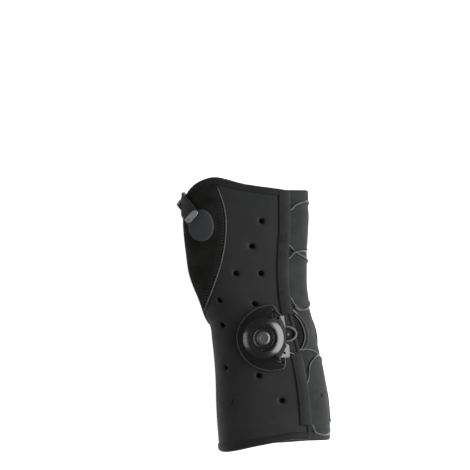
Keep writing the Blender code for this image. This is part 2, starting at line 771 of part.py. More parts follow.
def knob_floor():
    """Height of the recess's floor over the skin."""
    return knob_bottom() + KNOB_HEIGHT - RECESS_DEPTH


def make_knob(material, group):
    """The turning knob: a rounded rim round a sunk face with a low ring, and a skirt over the cup."""
    bottom = knob_bottom()
    top = bottom + KNOB_HEIGHT
    face = knob_floor()
    under = face - KNOB_WALL
    inner = KNOB_RADIUS - KNOB_WALL
    rim = (KNOB_RADIUS + RECESS_RADIUS) / 2
    half = (KNOB_RADIUS - RECESS_RADIUS) / 2
    crown = [
        (rim + half * math.cos(turn), top - RECESS_DEPTH * (1 - math.sin(turn)))
        for turn in np.radians([150.0, 120.0, 90.0, 60.0, 30.0, 0.0])
    ]
    step = 0.06 * KNOB_RADIUS
    profile = [
        (POST_RADIUS + RUNNING_GAP, face),
        (RING_RADIUS - step, face),
        (RING_RADIUS - step, face + 0.2 * RECESS_DEPTH),
        (RING_RADIUS, face + 0.2 * RECESS_DEPTH),
        (RING_RADIUS, face),
        (RECESS_RADIUS, face),
        *crown,
        (KNOB_RADIUS, bottom + 0.1 * KNOB_HEIGHT),
        (KNOB_RADIUS - 0.4 * KNOB_WALL, bottom),
        (inner, bottom),
        (inner, under),
        (POST_RADIUS + RUNNING_GAP + BOSS_WALL, under),
        (POST_RADIUS + RUNNING_GAP + BOSS_WALL, boss_bottom()),
        (POST_RADIUS + RUNNING_GAP, boss_bottom()),
    ]
    return turned_object("dial_knob", profile, 32, material, group, (DIAL_X, DIAL_Y, dial_floor()))


def make_cap(material, group):
    """The plain hub in the middle of the knob's sunk face."""
    low = knob_floor() + LAYER_GAP
    profile = [
        (0.0, low + CAP_HEIGHT),
        (0.6 * CAP_RADIUS, low + 0.95 * CAP_HEIGHT),
        (0.9 * CAP_RADIUS, low + 0.7 * CAP_HEIGHT),
        (CAP_RADIUS, low + 0.3 * CAP_HEIGHT),
        (CAP_RADIUS, low),
        (0.0, low),
    ]
    return turned_object("dial_cap", profile, 24, material, group, (DIAL_X, DIAL_Y, dial_floor()))


def make_side_loop(loop_material, rivet_material, group):
    """The D-shaped loop beside the lug block, lying on the back panel, and the rivet inside it."""
    root = FLANGE_SHIFT + FLANGE_CUT[:, 1].min() * FLANGE_RADIUS + LAYER_GAP
    turn = np.radians(np.linspace(-90.0, 90.0, 9))
    x = DIAL_X + root + 0.51 * KNOB_RADIUS * np.cos(turn)
    y = DIAL_Y + 0.19 * KNOB_RADIUS + 0.34 * KNOB_RADIUS * np.sin(turn)
    points = skin(angle_at(x, y), y, LAYER_GAP + LOOP_RADIUS)
    tube_object("side_loop", points, LOOP_RADIUS, loop_material, group)
    x = DIAL_X + root + 0.17 * KNOB_RADIUS
    y = DIAL_Y + 0.17 * KNOB_RADIUS
    angle = angle_at(x, y)
    profile = [
        (0.0, RIVET_HEIGHT),
        (0.55 * RIVET_RADIUS, 0.85 * RIVET_HEIGHT),
        (0.9 * RIVET_RADIUS, 0.45 * RIVET_HEIGHT),
        (RIVET_RADIUS, 0.0),
        (0.0, 0.0),
    ]
    seat = skin(angle, y, LAYER_GAP)
    rivet = turned_object("loop_rivet", profile, 16, rivet_material, group, tuple(seat))
    rivet.rotation_mode = "QUATERNION"
    rivet.rotation_quaternion = Vector((0, 0, 1)).rotation_difference(Vector(normal_at(angle, y)))


def main():
    empty_scene()
    brace = new_collection("wrist_brace")
    hole_cutters = new_collection("hole_cutters")
    base_joined = new_collection("base_joined")
    base_cutters = new_collection("base_cutters")
    look = {name: new_material(name) for name in PALETTE}
    make_shell(look["face_fabric"], brace, hole_cutters)
    make_tongue(look["tongue_fabric"], brace)
    make_loop_patch(look["loop_pile"], brace)
    make_piping(look["piping"], brace)
    make_strips(look["webbing"], brace)
    make_laces(look["lace"], brace)
    make_tab(look["tab"], brace)
    make_strap(look["webbing"], brace)
    make_dial_base(look["satin_plastic"], brace, base_joined, base_cutters)
    make_spool(look["satin_plastic"], brace)
    make_knob(look["gloss_plastic"], brace)
    make_cap(look["gloss_plastic"], brace)
    make_side_loop(look["satin_plastic"], look["rivet"], brace)


main()
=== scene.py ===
# %% [markdown]
# A wrist brace with a lace-and-dial closure. It is one formed wrap with a fabric face, open along the little
# finger's side, where a soft tongue shows and a thin lace crosses it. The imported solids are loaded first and
# stay the measure of every size. Each visible piece is then worked out again as a finer surface with numpy.

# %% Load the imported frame
import math

import bpy
import numpy as np
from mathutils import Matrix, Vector


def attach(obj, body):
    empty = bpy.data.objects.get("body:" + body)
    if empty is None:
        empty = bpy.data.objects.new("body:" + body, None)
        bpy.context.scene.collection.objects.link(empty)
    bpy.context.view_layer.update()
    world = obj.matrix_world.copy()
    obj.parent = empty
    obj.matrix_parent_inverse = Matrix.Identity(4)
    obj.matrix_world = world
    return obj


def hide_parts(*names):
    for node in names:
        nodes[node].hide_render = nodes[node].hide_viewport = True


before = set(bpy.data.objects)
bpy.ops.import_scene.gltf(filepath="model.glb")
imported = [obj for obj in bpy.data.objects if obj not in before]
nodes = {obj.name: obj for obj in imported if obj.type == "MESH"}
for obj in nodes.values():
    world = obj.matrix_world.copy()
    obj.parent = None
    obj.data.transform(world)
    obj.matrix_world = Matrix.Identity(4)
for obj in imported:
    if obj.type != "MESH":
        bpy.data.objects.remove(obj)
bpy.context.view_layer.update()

# %% [markdown]
# Everything lies on the wrap, so the first thing to write down is the wrap's outer face, called the skin. A
# place on it is an angle round the arm and a length along it. The section is a rounded box whose middle, width
# and height change along the arm. A short table holds them as shares of three sizes, and cubic pieces join
# the rows. A subdivided cage could be pulled into this shape by hand, but then nothing else could be laid on
# it by formula.

# %% The skin as a function of angle and length
MM = 0.001
LENGTH = 182.6 * MM
BREADTH = 100.0 * MM
DEPTH = 54.5 * MM
SOLE = 1.3 * MM
ROUNDNESS = 2.5
SHELL_WALL = 3.0 * MM
TONGUE_WALL = 2.4 * MM
TONGUE_GAP = 0.5 * MM
EDGE_INSET = 12.8 * MM
SEAM_ANGLE = math.radians(96)
NOTCH = -0.020 * LENGTH
THUMB_CORNER = 13.0 * MM

SECTIONS = np.array(
    [
        # along, thumb_side, little_side, back
        (-0.500, -0.237, 0.503, 1.000),
        (-0.350, -0.257, 0.495, 0.965),
        (-0.205, -0.266, 0.460, 0.935),
        (-0.095, -0.285, 0.414, 0.920),
        (-0.036, -0.303, 0.393, 0.910),
        (-0.010, -0.330, 0.381, 0.895),
        (0.055, -0.380, 0.360, 0.860),
        (0.140, -0.441, 0.348, 0.815),
        (0.225, -0.466, 0.350, 0.780),
        (0.330, -0.485, 0.360, 0.745),
        (0.440, -0.482, 0.357, 0.715),
        (0.500, -0.465, 0.350, 0.700),
    ]
)
BACK_ENDS = np.array(
    [
        # across, forearm, knuckles
        (0.00, -0.453, 0.452),
        (0.16, -0.453, 0.461),
        (0.28, -0.468, 0.469),
        (0.36, -0.476, 0.480),
        (0.46, -0.485, 0.493),
        (0.56, -0.493, 0.500),
        (0.70, -0.499, 0.489),
        (0.80, -0.500, 0.473),
        (0.90, -0.498, 0.447),
        (1.00, -0.496, 0.405),
    ]
)
PALM_ENDS = np.array(
    [
        # across, forearm, knuckles
        (0.00, -0.496, 0.428),
        (0.12, -0.494, 0.452),
        (0.35, -0.484, 0.405),
        (0.65, -0.470, 0.370),
        (1.00, -0.457, 0.382),
    ]
)
FREE_EDGES = np.array(
    [
        # along, thumb_edge, palm_edge, palm_lace_edge
        (-0.500, 78.0, 128.0, -118.0),
        (-0.330, 78.0, 128.0, -116.0),
        (-0.150, 78.0, 128.0, -122.0),
        (0.050, 78.0, 134.0, -126.0),
        (0.160, 78.0, 148.0, -126.0),
        (0.260, 78.0, 146.0, -124.0),
        (0.340, 78.0, 130.0, -122.0),
        (0.400, 77.0, 120.0, -122.0),
        (0.500, 76.0, 120.0, -122.0),
    ]
)


def smooth_curve(knots, values, at):
    """A cubic through every knot, with the slope of its neighbours at each."""
    at = np.clip(at, knots[0], knots[-1])
    slopes = np.gradient(values, knots)
    left = np.clip(np.searchsorted(knots, at, side="right") - 1, 0, len(knots) - 2)
    span = knots[left + 1] - knots[left]
    t = (at - knots[left]) / span
    start = (2 * t**3 - 3 * t**2 + 1) * values[left] + (t**3 - 2 * t**2 + t) * span * slopes[left]
    end = (3 * t**2 - 2 * t**3) * values[left + 1] + (t**3 - t**2) * span * slopes[left + 1]
    return start + end


def column(table, index, at):
    return smooth_curve(table[:, 0], table[:, index], np.asarray(at, float))


def section(y):
    """Middle, half-width, height of the back and half-height of the skin at a length along the arm."""
    share = np.asarray(y, float) / LENGTH
    thumb_side = column(SECTIONS, 1, share) * BREADTH
    little_side = column(SECTIONS, 2, share) * BREADTH + SHELL_WALL + TONGUE_GAP
    back = column(SECTIONS, 3, share) * DEPTH
    return (thumb_side + little_side) / 2, (little_side - thumb_side) / 2, back, (back + SOLE) / 2


def bulge(value):
    return np.sign(value) * np.abs(value) ** (2 / ROUNDNESS)


def skin(angle, y, proud=0.0):
    """x is the middle less the half-width times the sine to the power 2/ROUNDNESS, and z the same with the
    cosine. proud adds to both halves, and nothing goes under the floor."""
    middle, half_width, back, half_height = section(y)
    x = middle - (half_width + proud) * bulge(np.sin(angle))
    z = back - half_height + (half_height + proud) * bulge(np.cos(angle))
    z = np.maximum(z, np.maximum(-np.asarray(proud), 0))
    return np.stack(np.broadcast_arrays(x, y, z), axis=-1)


def angle_at(x, y, proud=0.0):
    """Angle of the point of the upper half, at a height over the skin, that is seen at x from above."""
    middle, half_width, _, _ = section(y)
    share = np.clip((middle - x) / (half_width + proud), -0.9995, 0.9995)
    return np.arcsin(np.sign(share) * np.abs(share) ** (ROUNDNESS / 2))


def pace(angle, y):
    """Length walked round the arm for each radian."""
    small = 0.002
    return np.linalg.norm(skin(angle + small, y) - skin(angle - small, y), axis=-1) / (2 * small)


def step_round(angle, y, distance, steps=8):
    """Angle after walking a distance round the arm, positive towards the thumb's side."""
    angle = np.asarray(angle, float) + 0 * np.asarray(y, float) + 0 * np.asarray(distance, float)
    for _ in range(steps):
        angle = angle + distance / steps / pace(angle, y)
    return angle


def lace_edge(y):
    middle, half_width, _, _ = section(y)
    return angle_at(middle + half_width - SHELL_WALL - TONGUE_GAP - EDGE_INSET, y)


def palm_lace_edge(y):
    return np.radians(column(FREE_EDGES, 3, np.asarray(y) / LENGTH))


def panel_edge(index, y):
    """A free edge along the thumb opening, which opens from the seam as a quarter circle does."""
    run = np.clip((y - NOTCH) / THUMB_CORNER, 0, 1)
    opened = np.sqrt(1 - (1 - run) ** 2)
    return SEAM_ANGLE + (
        np.radians(column(FREE_EDGES, index, np.asarray(y) / LENGTH)) - SEAM_ANGLE
    ) * opened


def back_angle(across, y):
    return lace_edge(y) + (panel_edge(1, y) - lace_edge(y)) * across


def palm_angle(across, y):
    return panel_edge(2, y) + (palm_lace_edge(y) + 2 * math.pi - panel_edge(2, y)) * across


GIRTH_ANGLES = np.radians(np.linspace(-200, 300, 1001))
GIRTH_LENGTHS = np.linspace(-0.53, 0.53, 107) * LENGTH
ring = skin(GIRTH_ANGLES[None, :], GIRTH_LENGTHS[:, None])
GIRTH = np.concatenate(
    [np.zeros((len(GIRTH_LENGTHS), 1)), np.cumsum(np.linalg.norm(np.diff(ring, axis=1), axis=-1), axis=1)],
    axis=1
)
GIRTH -= GIRTH[:, [np.searchsorted(GIRTH_ANGLES, 0.0)]]


def girth(angle, y):
    """Length round the arm from the middle of the back, read between the cells of a table."""
    a = np.clip(
        (angle - GIRTH_ANGLES[0]) / (GIRTH_ANGLES[1] - GIRTH_ANGLES[0]), 0, len(GIRTH_ANGLES) - 1.001
    )
    b = np.clip(
        (y - GIRTH_LENGTHS[0]) / (GIRTH_LENGTHS[1] - GIRTH_LENGTHS[0]), 0, len(GIRTH_LENGTHS) - 1.001
    )
    a, b = np.broadcast_arrays(a, b)
    i, j = b.astype(int), a.astype(int)
    s, t = b - i, a - j
    low = GIRTH[i, j] * (1 - t) + GIRTH[i, j + 1] * t
    high = GIRTH[i + 1, j] * (1 - t) + GIRTH[i + 1, j + 1] * t
    return low * (1 - s) + high * s


print("girth at the wrist:", round(float(girth(np.radians(180.0), 0.0) * 2 / MM)), "mm")

# %% [markdown]
# Three small tools turn arrays into meshes. The first lays quads over a grid of points. The second joins
# several grids into one object. The third gives a round tube along a path, with its ring turned so that its
# seam faces away from the arm.

# %% From arrays to meshes


def quads_of(rows, columns, ring_rows=False, ring_columns=False):
    """Corner numbers of every quad of a grid that is counted row by row."""
    i, j = np.meshgrid(
        np.arange(rows if ring_rows else rows - 1), np.arange(columns if ring_columns else columns - 1),
        indexing="ij"
    )
    up, on = (i + 1) % rows, (j + 1) % columns
    return np.stack(
        [i * columns + j, up * columns + j, up * columns + on, i * columns + on], axis=-1
    ).reshape(-1, 4)


def signed_volume(points, quads):
    """A sixth of the sum over the triangles of a · (b × c), positive where the faces look out."""
    a, b, c, d = (points[quads[:, k]] for k in range(4))
    return float((a * np.cross(b, c)).sum() + (a * np.cross(c, d)).sum()) / 6


def build(name, points, faces, uv=None, smooth=True):
    """An object from points and faces, without the points that no face uses. uv is one pair for each corner."""
    points = np.asarray(points, float).reshape(-1, 3)
    flat = np.concatenate(
        [np.asarray(face) for face in faces]
    ) if isinstance(faces, list) else faces.reshape(-1)
    used, fresh = np.unique(flat, return_inverse=True)
    if isinstance(faces, list):
        cuts = np.cumsum([len(face) for face in faces])[:-1]
        faces = [part.tolist() for part in np.split(fresh.reshape(-1), cuts)]
    else:
        faces = fresh.reshape(faces.shape).tolist()
    mesh = bpy.data.meshes.new(name)
    mesh.from_pydata(points[used].tolist(), [], faces)
    if uv is not None:
        layer = mesh.uv_layers.new(name="surface")
        layer.data.foreach_set("uv", np.asarray(uv, np.float32).reshape(-1))
    if smooth:
        mesh.shade_smooth()
    thing = bpy.data.objects.new(name, mesh)
    bpy.context.scene.collection.objects.link(thing)
    return thing


def grid_piece(name, grid, ring_rows=False, ring_columns=False, uv=None, keep=None, size=None):
    """One grid as an object. A ring of columns is closed at its ends by a flat face each, and faces look out."""
    rows, columns, _ = grid.shape
    points = grid.reshape(-1, 3)
    quads = quads_of(rows, columns, ring_rows, ring_columns)
    i, j = np.meshgrid(
        np.arange(rows if ring_rows else rows - 1), np.arange(columns if ring_columns else columns - 1),
        indexing="ij"
    )
    corners = np.stack(
        [
            np.stack([j, i], -1), np.stack([j, i + 1], -1), np.stack([j + 1, i + 1], -1),
            np.stack([j + 1, i], -1)
        ], -2
    ).reshape(-1, 4, 2)
    if uv is not None:
        pairs = uv.reshape(-1, 2)[quads]
    else:
        length, width = size or (1.0, 1.0)
        pairs = corners * np.array([width / columns, length / rows])
    if ring_columns and signed_volume(points, quads) < 0:
        quads = quads[:, ::-1]
        pairs = pairs[:, ::-1]
    if keep is not None:
        quads = quads[keep]
        pairs = pairs[keep]
    if ring_columns and not ring_rows:
        first = np.arange(columns)
        last = np.arange(columns) + (rows - 1) * columns
        turned = quads[0][1] != columns  # whether the quads were flipped
        caps = [last, first[::-1]] if turned else [last[::-1], first]
        faces = list(quads) + caps
        pairs = np.concatenate([pairs.reshape(-1, 2), np.zeros((2 * columns, 2))])
        return build(name, points, faces, pairs)
    return build(name, points, quads, pairs)


def out_of_arm(points):
    """Unit directions away from the arm's middle line, square to it."""
    middle, _, back, half_height = section(points[..., 1])
    out = np.stack([points[..., 0] - middle, 0 * middle, points[..., 2] - (back - half_height)], axis=-1)
    return out / np.linalg.norm(out, axis=-1, keepdims=True)


def tangents(path, closed=False):
    step = np.roll(path, -1, 0) - np.roll(path, 1, 0) if closed else np.gradient(path, axis=0)
    return step / np.linalg.norm(step, axis=-1, keepdims=True)


def tube_grid(path, radius, sides=12, closed=False):
    """Rings round a path: the centre plus radius times cos of the turn outwards and sin of it sideways."""
    along = tangents(path, closed)
    out = out_of_arm(path)
    out = out - (out * along).sum(-1, keepdims=True) * along
    out /= np.linalg.norm(out, axis=-1, keepdims=True)
    side = np.cross(along, out)
    turn = np.linspace(0, 2 * math.pi, sides, endpoint=False)[None, :, None]
    radius = np.broadcast_to(np.asarray(radius, float), (len(path),))[:, None, None]
    return path[:, None] + radius * (np.cos(turn) * out[:, None] + np.sin(turn) * side[:, None])


def path_length(path):
    return np.concatenate([[0.0], np.cumsum(np.linalg.norm(np.diff(path, axis=0), axis=-1))])


def tube(name, path, radius, sides=12):
    """A round cord whose ends close in over their last ring."""
    run = path_length(path)
    thick = np.full(len(path), radius, float)
    thick[[0, -1]] *= 0.45
    return grid_piece(
        name, tube_grid(path, thick, sides), ring_columns=True, size=(run[-1], 2 * math.pi * radius)
    )


def turned(name, profile, centre, up=(0.0, 0.0, 1.0), sides=96):
    """A profile of radius and height turned about an axis, its first and last points on the axis."""
    profile = np.asarray(profile, float)
    up = np.asarray(up, float) / np.linalg.norm(up)
    side = np.cross(up, (0.0, 1.0, 0.0))
    side /= np.linalg.norm(side)
    ahead = np.cross(up, side)
    theta = np.linspace(0, 2 * math.pi, sides, endpoint=False)[None, :, None]
    radius, height = profile[:, 0, None, None], profile[:, 1, None, None]
    grid = np.asarray(centre) + radius * (np.cos(theta) * side + np.sin(theta) * ahead) + height * up
    return grid_piece(
        name, grid, ring_columns=True, size=(path_length(profile)[-1], 2 * math.pi * profile[:, 0].max())
    )


def rounded(profile, radius, steps=4):
    """A profile whose inner corners are cut by short arcs: each corner becomes a quadratic curve between the
    points at radius before and after it."""
    profile = np.asarray(profile, float)
    before = profile[:-2] - profile[1:-1]
    after = profile[2:] - profile[1:-1]
    reach_before = np.minimum(radius, np.linalg.norm(before, axis=1) * 0.45)
    reach_after = np.minimum(radius, np.linalg.norm(after, axis=1) * 0.45)
    start = profile[1:-1] + before / np.linalg.norm(before, axis=1)[:, None] * reach_before[:, None]
    end = profile[1:-1] + after / np.linalg.norm(after, axis=1)[:, None] * reach_after[:, None]
    t = np.linspace(0, 1, steps + 1)[None, :, None]
    arcs = (1 - t) ** 2 * start[:, None] + 2 * t * (1 - t) * profile[1:-1][:, None] + t**2 * end[:, None]
    return np.concatenate([profile[:1], arcs.reshape(-1, 2), profile[-1:]])


print("mesh tools ready")

# %% [markdown]
# Threads are everywhere on a sewn thing, and they are all short arches of the same shape. One function makes a
# whole row of them: it reads start and end points along a path, and lifts a thin tube between each pair.

# %% Rows of stitches


def stitch_row(name, starts, ends, radius, lift):
    """One mesh of many stitches. Each centre line is the straight line from start to end, raised away from the
    arm by lift times the sine of half a turn, and its radius thins to a third at both ends."""
    rings, sides = 7, 6
    t = np.linspace(0, 1, rings)[None, :, None]
    line = starts[:, None] * (1 - t) + ends[:, None] * t
    out = out_of_arm((starts + ends) / 2)[:, None]
    line = line + out * (lift * np.sin(math.pi * t) - 0.35 * lift)
    along = ends - starts
    along = along / np.linalg.norm(along, axis=-1, keepdims=True)
    side = np.cross(along, out[:, 0])
    side /= np.linalg.norm(side, axis=-1, keepdims=True)
    turn = np.linspace(0, 2 * math.pi, sides, endpoint=False)
    thick = radius * (0.35 + 0.65 * np.sqrt(np.clip(np.sin(math.pi * t), 0, 1)))
    spread = np.cos(turn)[:, None] * out[:, :, None] + np.sin(turn)[:, None] * side[:, None, None]
    points = line[:, :, None] + thick[..., None] * spread
    count = len(starts)
    base = (np.arange(count) * rings * sides)[:, None, None]
    quads = (quads_of(rings, sides, ring_columns=True)[None] + base).reshape(-1, 4)
    lids = np.stack([np.arange(sides)[::-1], np.arange(sides) + (rings - 1) * sides])[None] + base
    flat = points.reshape(-1, 3)
    if signed_volume(flat, quads) < 0:
        quads = quads[:, ::-1]
        lids = lids[..., ::-1]
    faces = list(quads) + list(lids.reshape(-1, sides))
    return build(name, flat, faces)


def run_of_stitches(name, path, pitch, length, radius, lift):
    """Stitches laid end to end along a path."""
    run = path_length(path)
    at = np.arange(pitch / 2, run[-1] - pitch / 2, pitch)
    starts = np.stack([np.interp(at, run, path[:, k]) for k in range(3)], axis=-1)
    ends = np.stack([np.interp(at + length, run, path[:, k]) for k in range(3)], axis=-1)
    return stitch_row(name, starts, ends, radius, lift)


print("stitch tools ready")

# %% [markdown]
# Fabric, pile, tape and plastic share a few effects, so each effect is a node group: a woven ground, a slow
# mottling and a sparse lint. A group only puts out a number or a colour. The Principled shader stays in each
# material, with its plain numbers set on its own sockets.

# %% Shader groups


def new_group(name, inputs, outputs):
    group = bpy.data.node_groups.new(name, "ShaderNodeTree")
    for label, kind, value in inputs:
        socket = group.interface.new_socket(name=label, in_out="INPUT", socket_type=kind)
        if value is not None:
            socket.default_value = value
    for label, kind in outputs:
        group.interface.new_socket(name=label, in_out="OUTPUT", socket_type=kind)
    return group, group.nodes.new("NodeGroupInput"), group.nodes.new("NodeGroupOutput")


def math_step(tree, operation, first, second=None, third=None):
    """A Math node whose inputs are sockets or plain numbers."""
    node = tree.nodes.new("ShaderNodeMath")
    node.operation = operation
    for socket, value in zip(node.inputs, (first, second, third)):
        if value is None:
            continue
        if isinstance(value, bpy.types.NodeSocket):
            tree.links.new(value, socket)
        else:
            socket.default_value = value
    return node.outputs[0]


def woven_ground():
    """Over-and-under threads: in every other cell the thread along u stands high as the absolute sine across
    it, and in the cells between the thread along v does."""
    group, source, sink = new_group(
        "Woven ground",
        [("Vector", "NodeSocketVector", None), ("Threads", "NodeSocketFloat", 1500.0)],
        [("Height", "NodeSocketFloat")],
    )
    parts = group.nodes.new("ShaderNodeSeparateXYZ")
    group.links.new(source.outputs["Vector"], parts.inputs[0])
    u = math_step(group, "MULTIPLY", parts.outputs[0], source.outputs["Threads"])
    v = math_step(group, "MULTIPLY", parts.outputs[1], source.outputs["Threads"])
    cells = math_step(group, "ADD", math_step(group, "FLOOR", u), math_step(group, "FLOOR", v))
    odd = math_step(group, "ABSOLUTE", math_step(group, "MODULO", cells, 2.0))
    across_u = math_step(
        group, "ABSOLUTE", math_step(group, "SINE", math_step(group, "MULTIPLY", u, math.pi))
    )
    across_v = math_step(
        group, "ABSOLUTE", math_step(group, "SINE", math_step(group, "MULTIPLY", v, math.pi))
    )
    even = math_step(group, "SUBTRACT", 1.0, odd)
    height = math_step(
        group, "ADD", math_step(group, "MULTIPLY", across_u, odd),
        math_step(group, "MULTIPLY", across_v, even)
    )
    group.links.new(height, sink.inputs["Height"])
    return group


def mottling():
    """Two colours mixed by a slow noise, as dye and rubbing leave them."""
    group, source, sink = new_group(
        "Mottling",
        [
            ("Vector", "NodeSocketVector", None),
            ("Scale", "NodeSocketFloat", 60.0),
            ("Dark", "NodeSocketColor", (0.0, 0.0, 0.0, 1.0)),
            ("Light", "NodeSocketColor", (1.0, 1.0, 1.0, 1.0)),
        ],
        [("Color", "NodeSocketColor"), ("Amount", "NodeSocketFloat")],
    )
    noise = group.nodes.new("ShaderNodeTexNoise")
    noise.inputs["Detail"].default_value = 6.0
    noise.inputs["Roughness"].default_value = 0.65
    group.links.new(source.outputs["Vector"], noise.inputs["Vector"])
    group.links.new(source.outputs["Scale"], noise.inputs["Scale"])
    spread = group.nodes.new("ShaderNodeMapRange")
    spread.inputs["From Min"].default_value = 0.32
    spread.inputs["From Max"].default_value = 0.68
    group.links.new(noise.outputs[0], spread.inputs["Value"])
    mix = group.nodes.new("ShaderNodeMix")
    mix.data_type = "RGBA"
    group.links.new(spread.outputs[0], mix.inputs["Factor"])
    group.links.new(source.outputs["Dark"], mix.inputs[6])
    group.links.new(source.outputs["Light"], mix.inputs[7])
    group.links.new(mix.outputs[2], sink.inputs["Color"])
    group.links.new(spread.outputs[0], sink.inputs["Amount"])
    return group


def lint():
    """A mask of sparse fine specks: a sharp noise cut off near its top."""
    group, source, sink = new_group(
        "Lint",
        [
            ("Vector", "NodeSocketVector", None),
            ("Scale", "NodeSocketFloat", 900.0),
            ("Cover", "NodeSocketFloat", 0.30),
        ],
        [("Mask", "NodeSocketFloat")],
    )
    noise = group.nodes.new("ShaderNodeTexNoise")
    noise.inputs["Detail"].default_value = 2.0
    group.links.new(source.outputs["Vector"], noise.inputs["Vector"])
    group.links.new(source.outputs["Scale"], noise.inputs["Scale"])
    over = math_step(
        group, "SUBTRACT", noise.outputs[0], math_step(group, "SUBTRACT", 1.0, source.outputs["Cover"])
    )
    mask = math_step(group, "MULTIPLY", over, 9.0)
    clamp = group.nodes.new("ShaderNodeClamp")
    group.links.new(mask, clamp.inputs[0])
    group.links.new(clamp.outputs[0], sink.inputs["Mask"])
    return group


WOVEN, MOTTLED, LINT = woven_ground(), mottling(), lint()
print("shader groups:", [group.name for group in bpy.data.node_groups])

# %% [markdown]
# A material here is a mottled colour with a little lint, a bump from its weave and its grain, and a roughness
# that follows the mottling. Cloth also gets sheen, the light that its short fibres scatter at a low angle.
# Plastics read the object's own coordinates and have a much finer grain.

# %% Materials


def place_group(tree, group, **values):
    node = tree.nodes.new("ShaderNodeGroup")
    node.node_tree = group
    for label, value in values.items():
        node.inputs[label].default_value = value
    return node


def cloth(
    name, dark, light, threads, weave, grain, roughness, sheen, lint_cover=0.27, lint_tone=0.04, scale=90.0
):
    """A fabric: weave and grain are bump heights in metres, and threads is how many lie in a metre."""
    material = bpy.data.materials.new(name)
    material.use_nodes = True
    tree = material.node_tree
    shader = tree.nodes["Principled BSDF"]
    where = tree.nodes.new("ShaderNodeTexCoord")
    mottle = place_group(tree, MOTTLED, Scale=scale, Dark=(*dark, 1.0), Light=(*light, 1.0))
    specks = place_group(tree, LINT, Cover=lint_cover)
    tree.links.new(where.outputs["Object"], mottle.inputs["Vector"])
    tree.links.new(where.outputs["Object"], specks.inputs["Vector"])
    mix = tree.nodes.new("ShaderNodeMix")
    mix.data_type = "RGBA"
    mix.inputs[7].default_value = (lint_tone, lint_tone, lint_tone * 1.03, 1.0)
    tree.links.new(specks.outputs["Mask"], mix.inputs["Factor"])
    tree.links.new(mottle.outputs["Color"], mix.inputs[6])
    tree.links.new(mix.outputs[2], shader.inputs["Base Color"])
    woven = place_group(tree, WOVEN, Threads=threads)
    tree.links.new(where.outputs["UV"], woven.inputs["Vector"])
    noise = tree.nodes.new("ShaderNodeTexNoise")
    noise.inputs["Scale"].default_value = 1400.0
    noise.inputs["Detail"].default_value = 3.0
    tree.links.new(where.outputs["Object"], noise.inputs["Vector"])
    height = math_step(
        tree,
        "ADD",
        math_step(tree, "MULTIPLY", woven.outputs["Height"], weave),
        math_step(tree, "MULTIPLY", noise.outputs[0], grain),
    )
    bump = tree.nodes.new("ShaderNodeBump")
    bump.inputs["Distance"].default_value = 1.0
    bump.inputs["Strength"].default_value = 0.6
    tree.links.new(height, bump.inputs["Height"])
    tree.links.new(bump.outputs["Normal"], shader.inputs["Normal"])
    rough = tree.nodes.new("ShaderNodeMapRange")
    rough.inputs["To Min"].default_value = roughness + 0.08
    rough.inputs["To Max"].default_value = roughness - 0.08
    tree.links.new(mottle.outputs["Amount"], rough.inputs["Value"])
    tree.links.new(rough.outputs[0], shader.inputs["Roughness"])
    shader.inputs["Sheen Weight"].default_value = sheen
    shader.inputs["Sheen Roughness"].default_value = 0.45
    shader.inputs["Specular IOR Level"].default_value = 0.20
    return material


def plastic(
    name, dark, light, roughness, grain, scale=500.0, scuff=0.12, coat=0.0, metallic=0.0, gleam=0.5
):
    """A moulded plastic or metal: slow mottling, a fine moulded grain, and roughness that varies with scuffs."""
    material = bpy.data.materials.new(name)
    material.use_nodes = True
    tree = material.node_tree
    shader = tree.nodes["Principled BSDF"]
    where = tree.nodes.new("ShaderNodeTexCoord")
    mottle = place_group(tree, MOTTLED, Scale=scale, Dark=(*dark, 1.0), Light=(*light, 1.0))
    tree.links.new(where.outputs["Object"], mottle.inputs["Vector"])
    tree.links.new(mottle.outputs["Color"], shader.inputs["Base Color"])
    fine = tree.nodes.new("ShaderNodeTexNoise")
    fine.inputs["Scale"].default_value = 2500.0
    tree.links.new(where.outputs["Object"], fine.inputs["Vector"])
    bump = tree.nodes.new("ShaderNodeBump")
    bump.inputs["Distance"].default_value = 1.0
    bump.inputs["Strength"].default_value = 0.5
    tree.links.new(math_step(tree, "MULTIPLY", fine.outputs[0], grain), bump.inputs["Height"])
    tree.links.new(bump.outputs["Normal"], shader.inputs["Normal"])
    rough = tree.nodes.new("ShaderNodeMapRange")
    rough.inputs["To Min"].default_value = roughness
    rough.inputs["To Max"].default_value = roughness + scuff
    tree.links.new(mottle.outputs["Amount"], rough.inputs["Value"])
    tree.links.new(rough.outputs[0], shader.inputs["Roughness"])
    shader.inputs["Coat Weight"].default_value = coat
    shader.inputs["Metallic"].default_value = metallic
    shader.inputs["Specular IOR Level"].default_value = gleam
    return material


MICRON = 0.001 * MM
FACE = cloth(
    "face fabric", (0.0148, 0.0152, 0.0162), (0.0168, 0.0172, 0.0184), 1700, 40 * MICRON, 25 * MICRON, 0.72,
    0.03
)
HEM = cloth(
    "hem tape", (0.0085, 0.0088, 0.0095), (0.0105, 0.0108, 0.0118), 2200, 30 * MICRON, 20 * MICRON, 0.66,
    0.02
)
LINING = cloth(
    "lining", (0.016, 0.017, 0.017), (0.024, 0.025, 0.025), 1300, 70 * MICRON, 60 * MICRON, 0.85, 0.06
)
TONGUE = cloth(
    "tongue fabric", (0.0155, 0.0168, 0.0162), (0.0195, 0.0210, 0.0203), 1500, 50 * MICRON, 50 * MICRON,
    0.80, 0.04
)
PILE = cloth(
    "loop pile", (0.0040, 0.0040, 0.0037), (0.011, 0.011, 0.0100), 900, 60 * MICRON, 220 * MICRON, 0.95,
    0.01, 0.27, 0.03
)
# The piping's pale grey is a painted highlight along the raised seam.
PIPING_PAINTED_HIGHLIGHT = cloth(
    "piping", (0.050, 0.053, 0.052), (0.100, 0.104, 0.102), 2500, 20 * MICRON, 30 * MICRON, 0.60, 0.05,
    scale=500.0
)
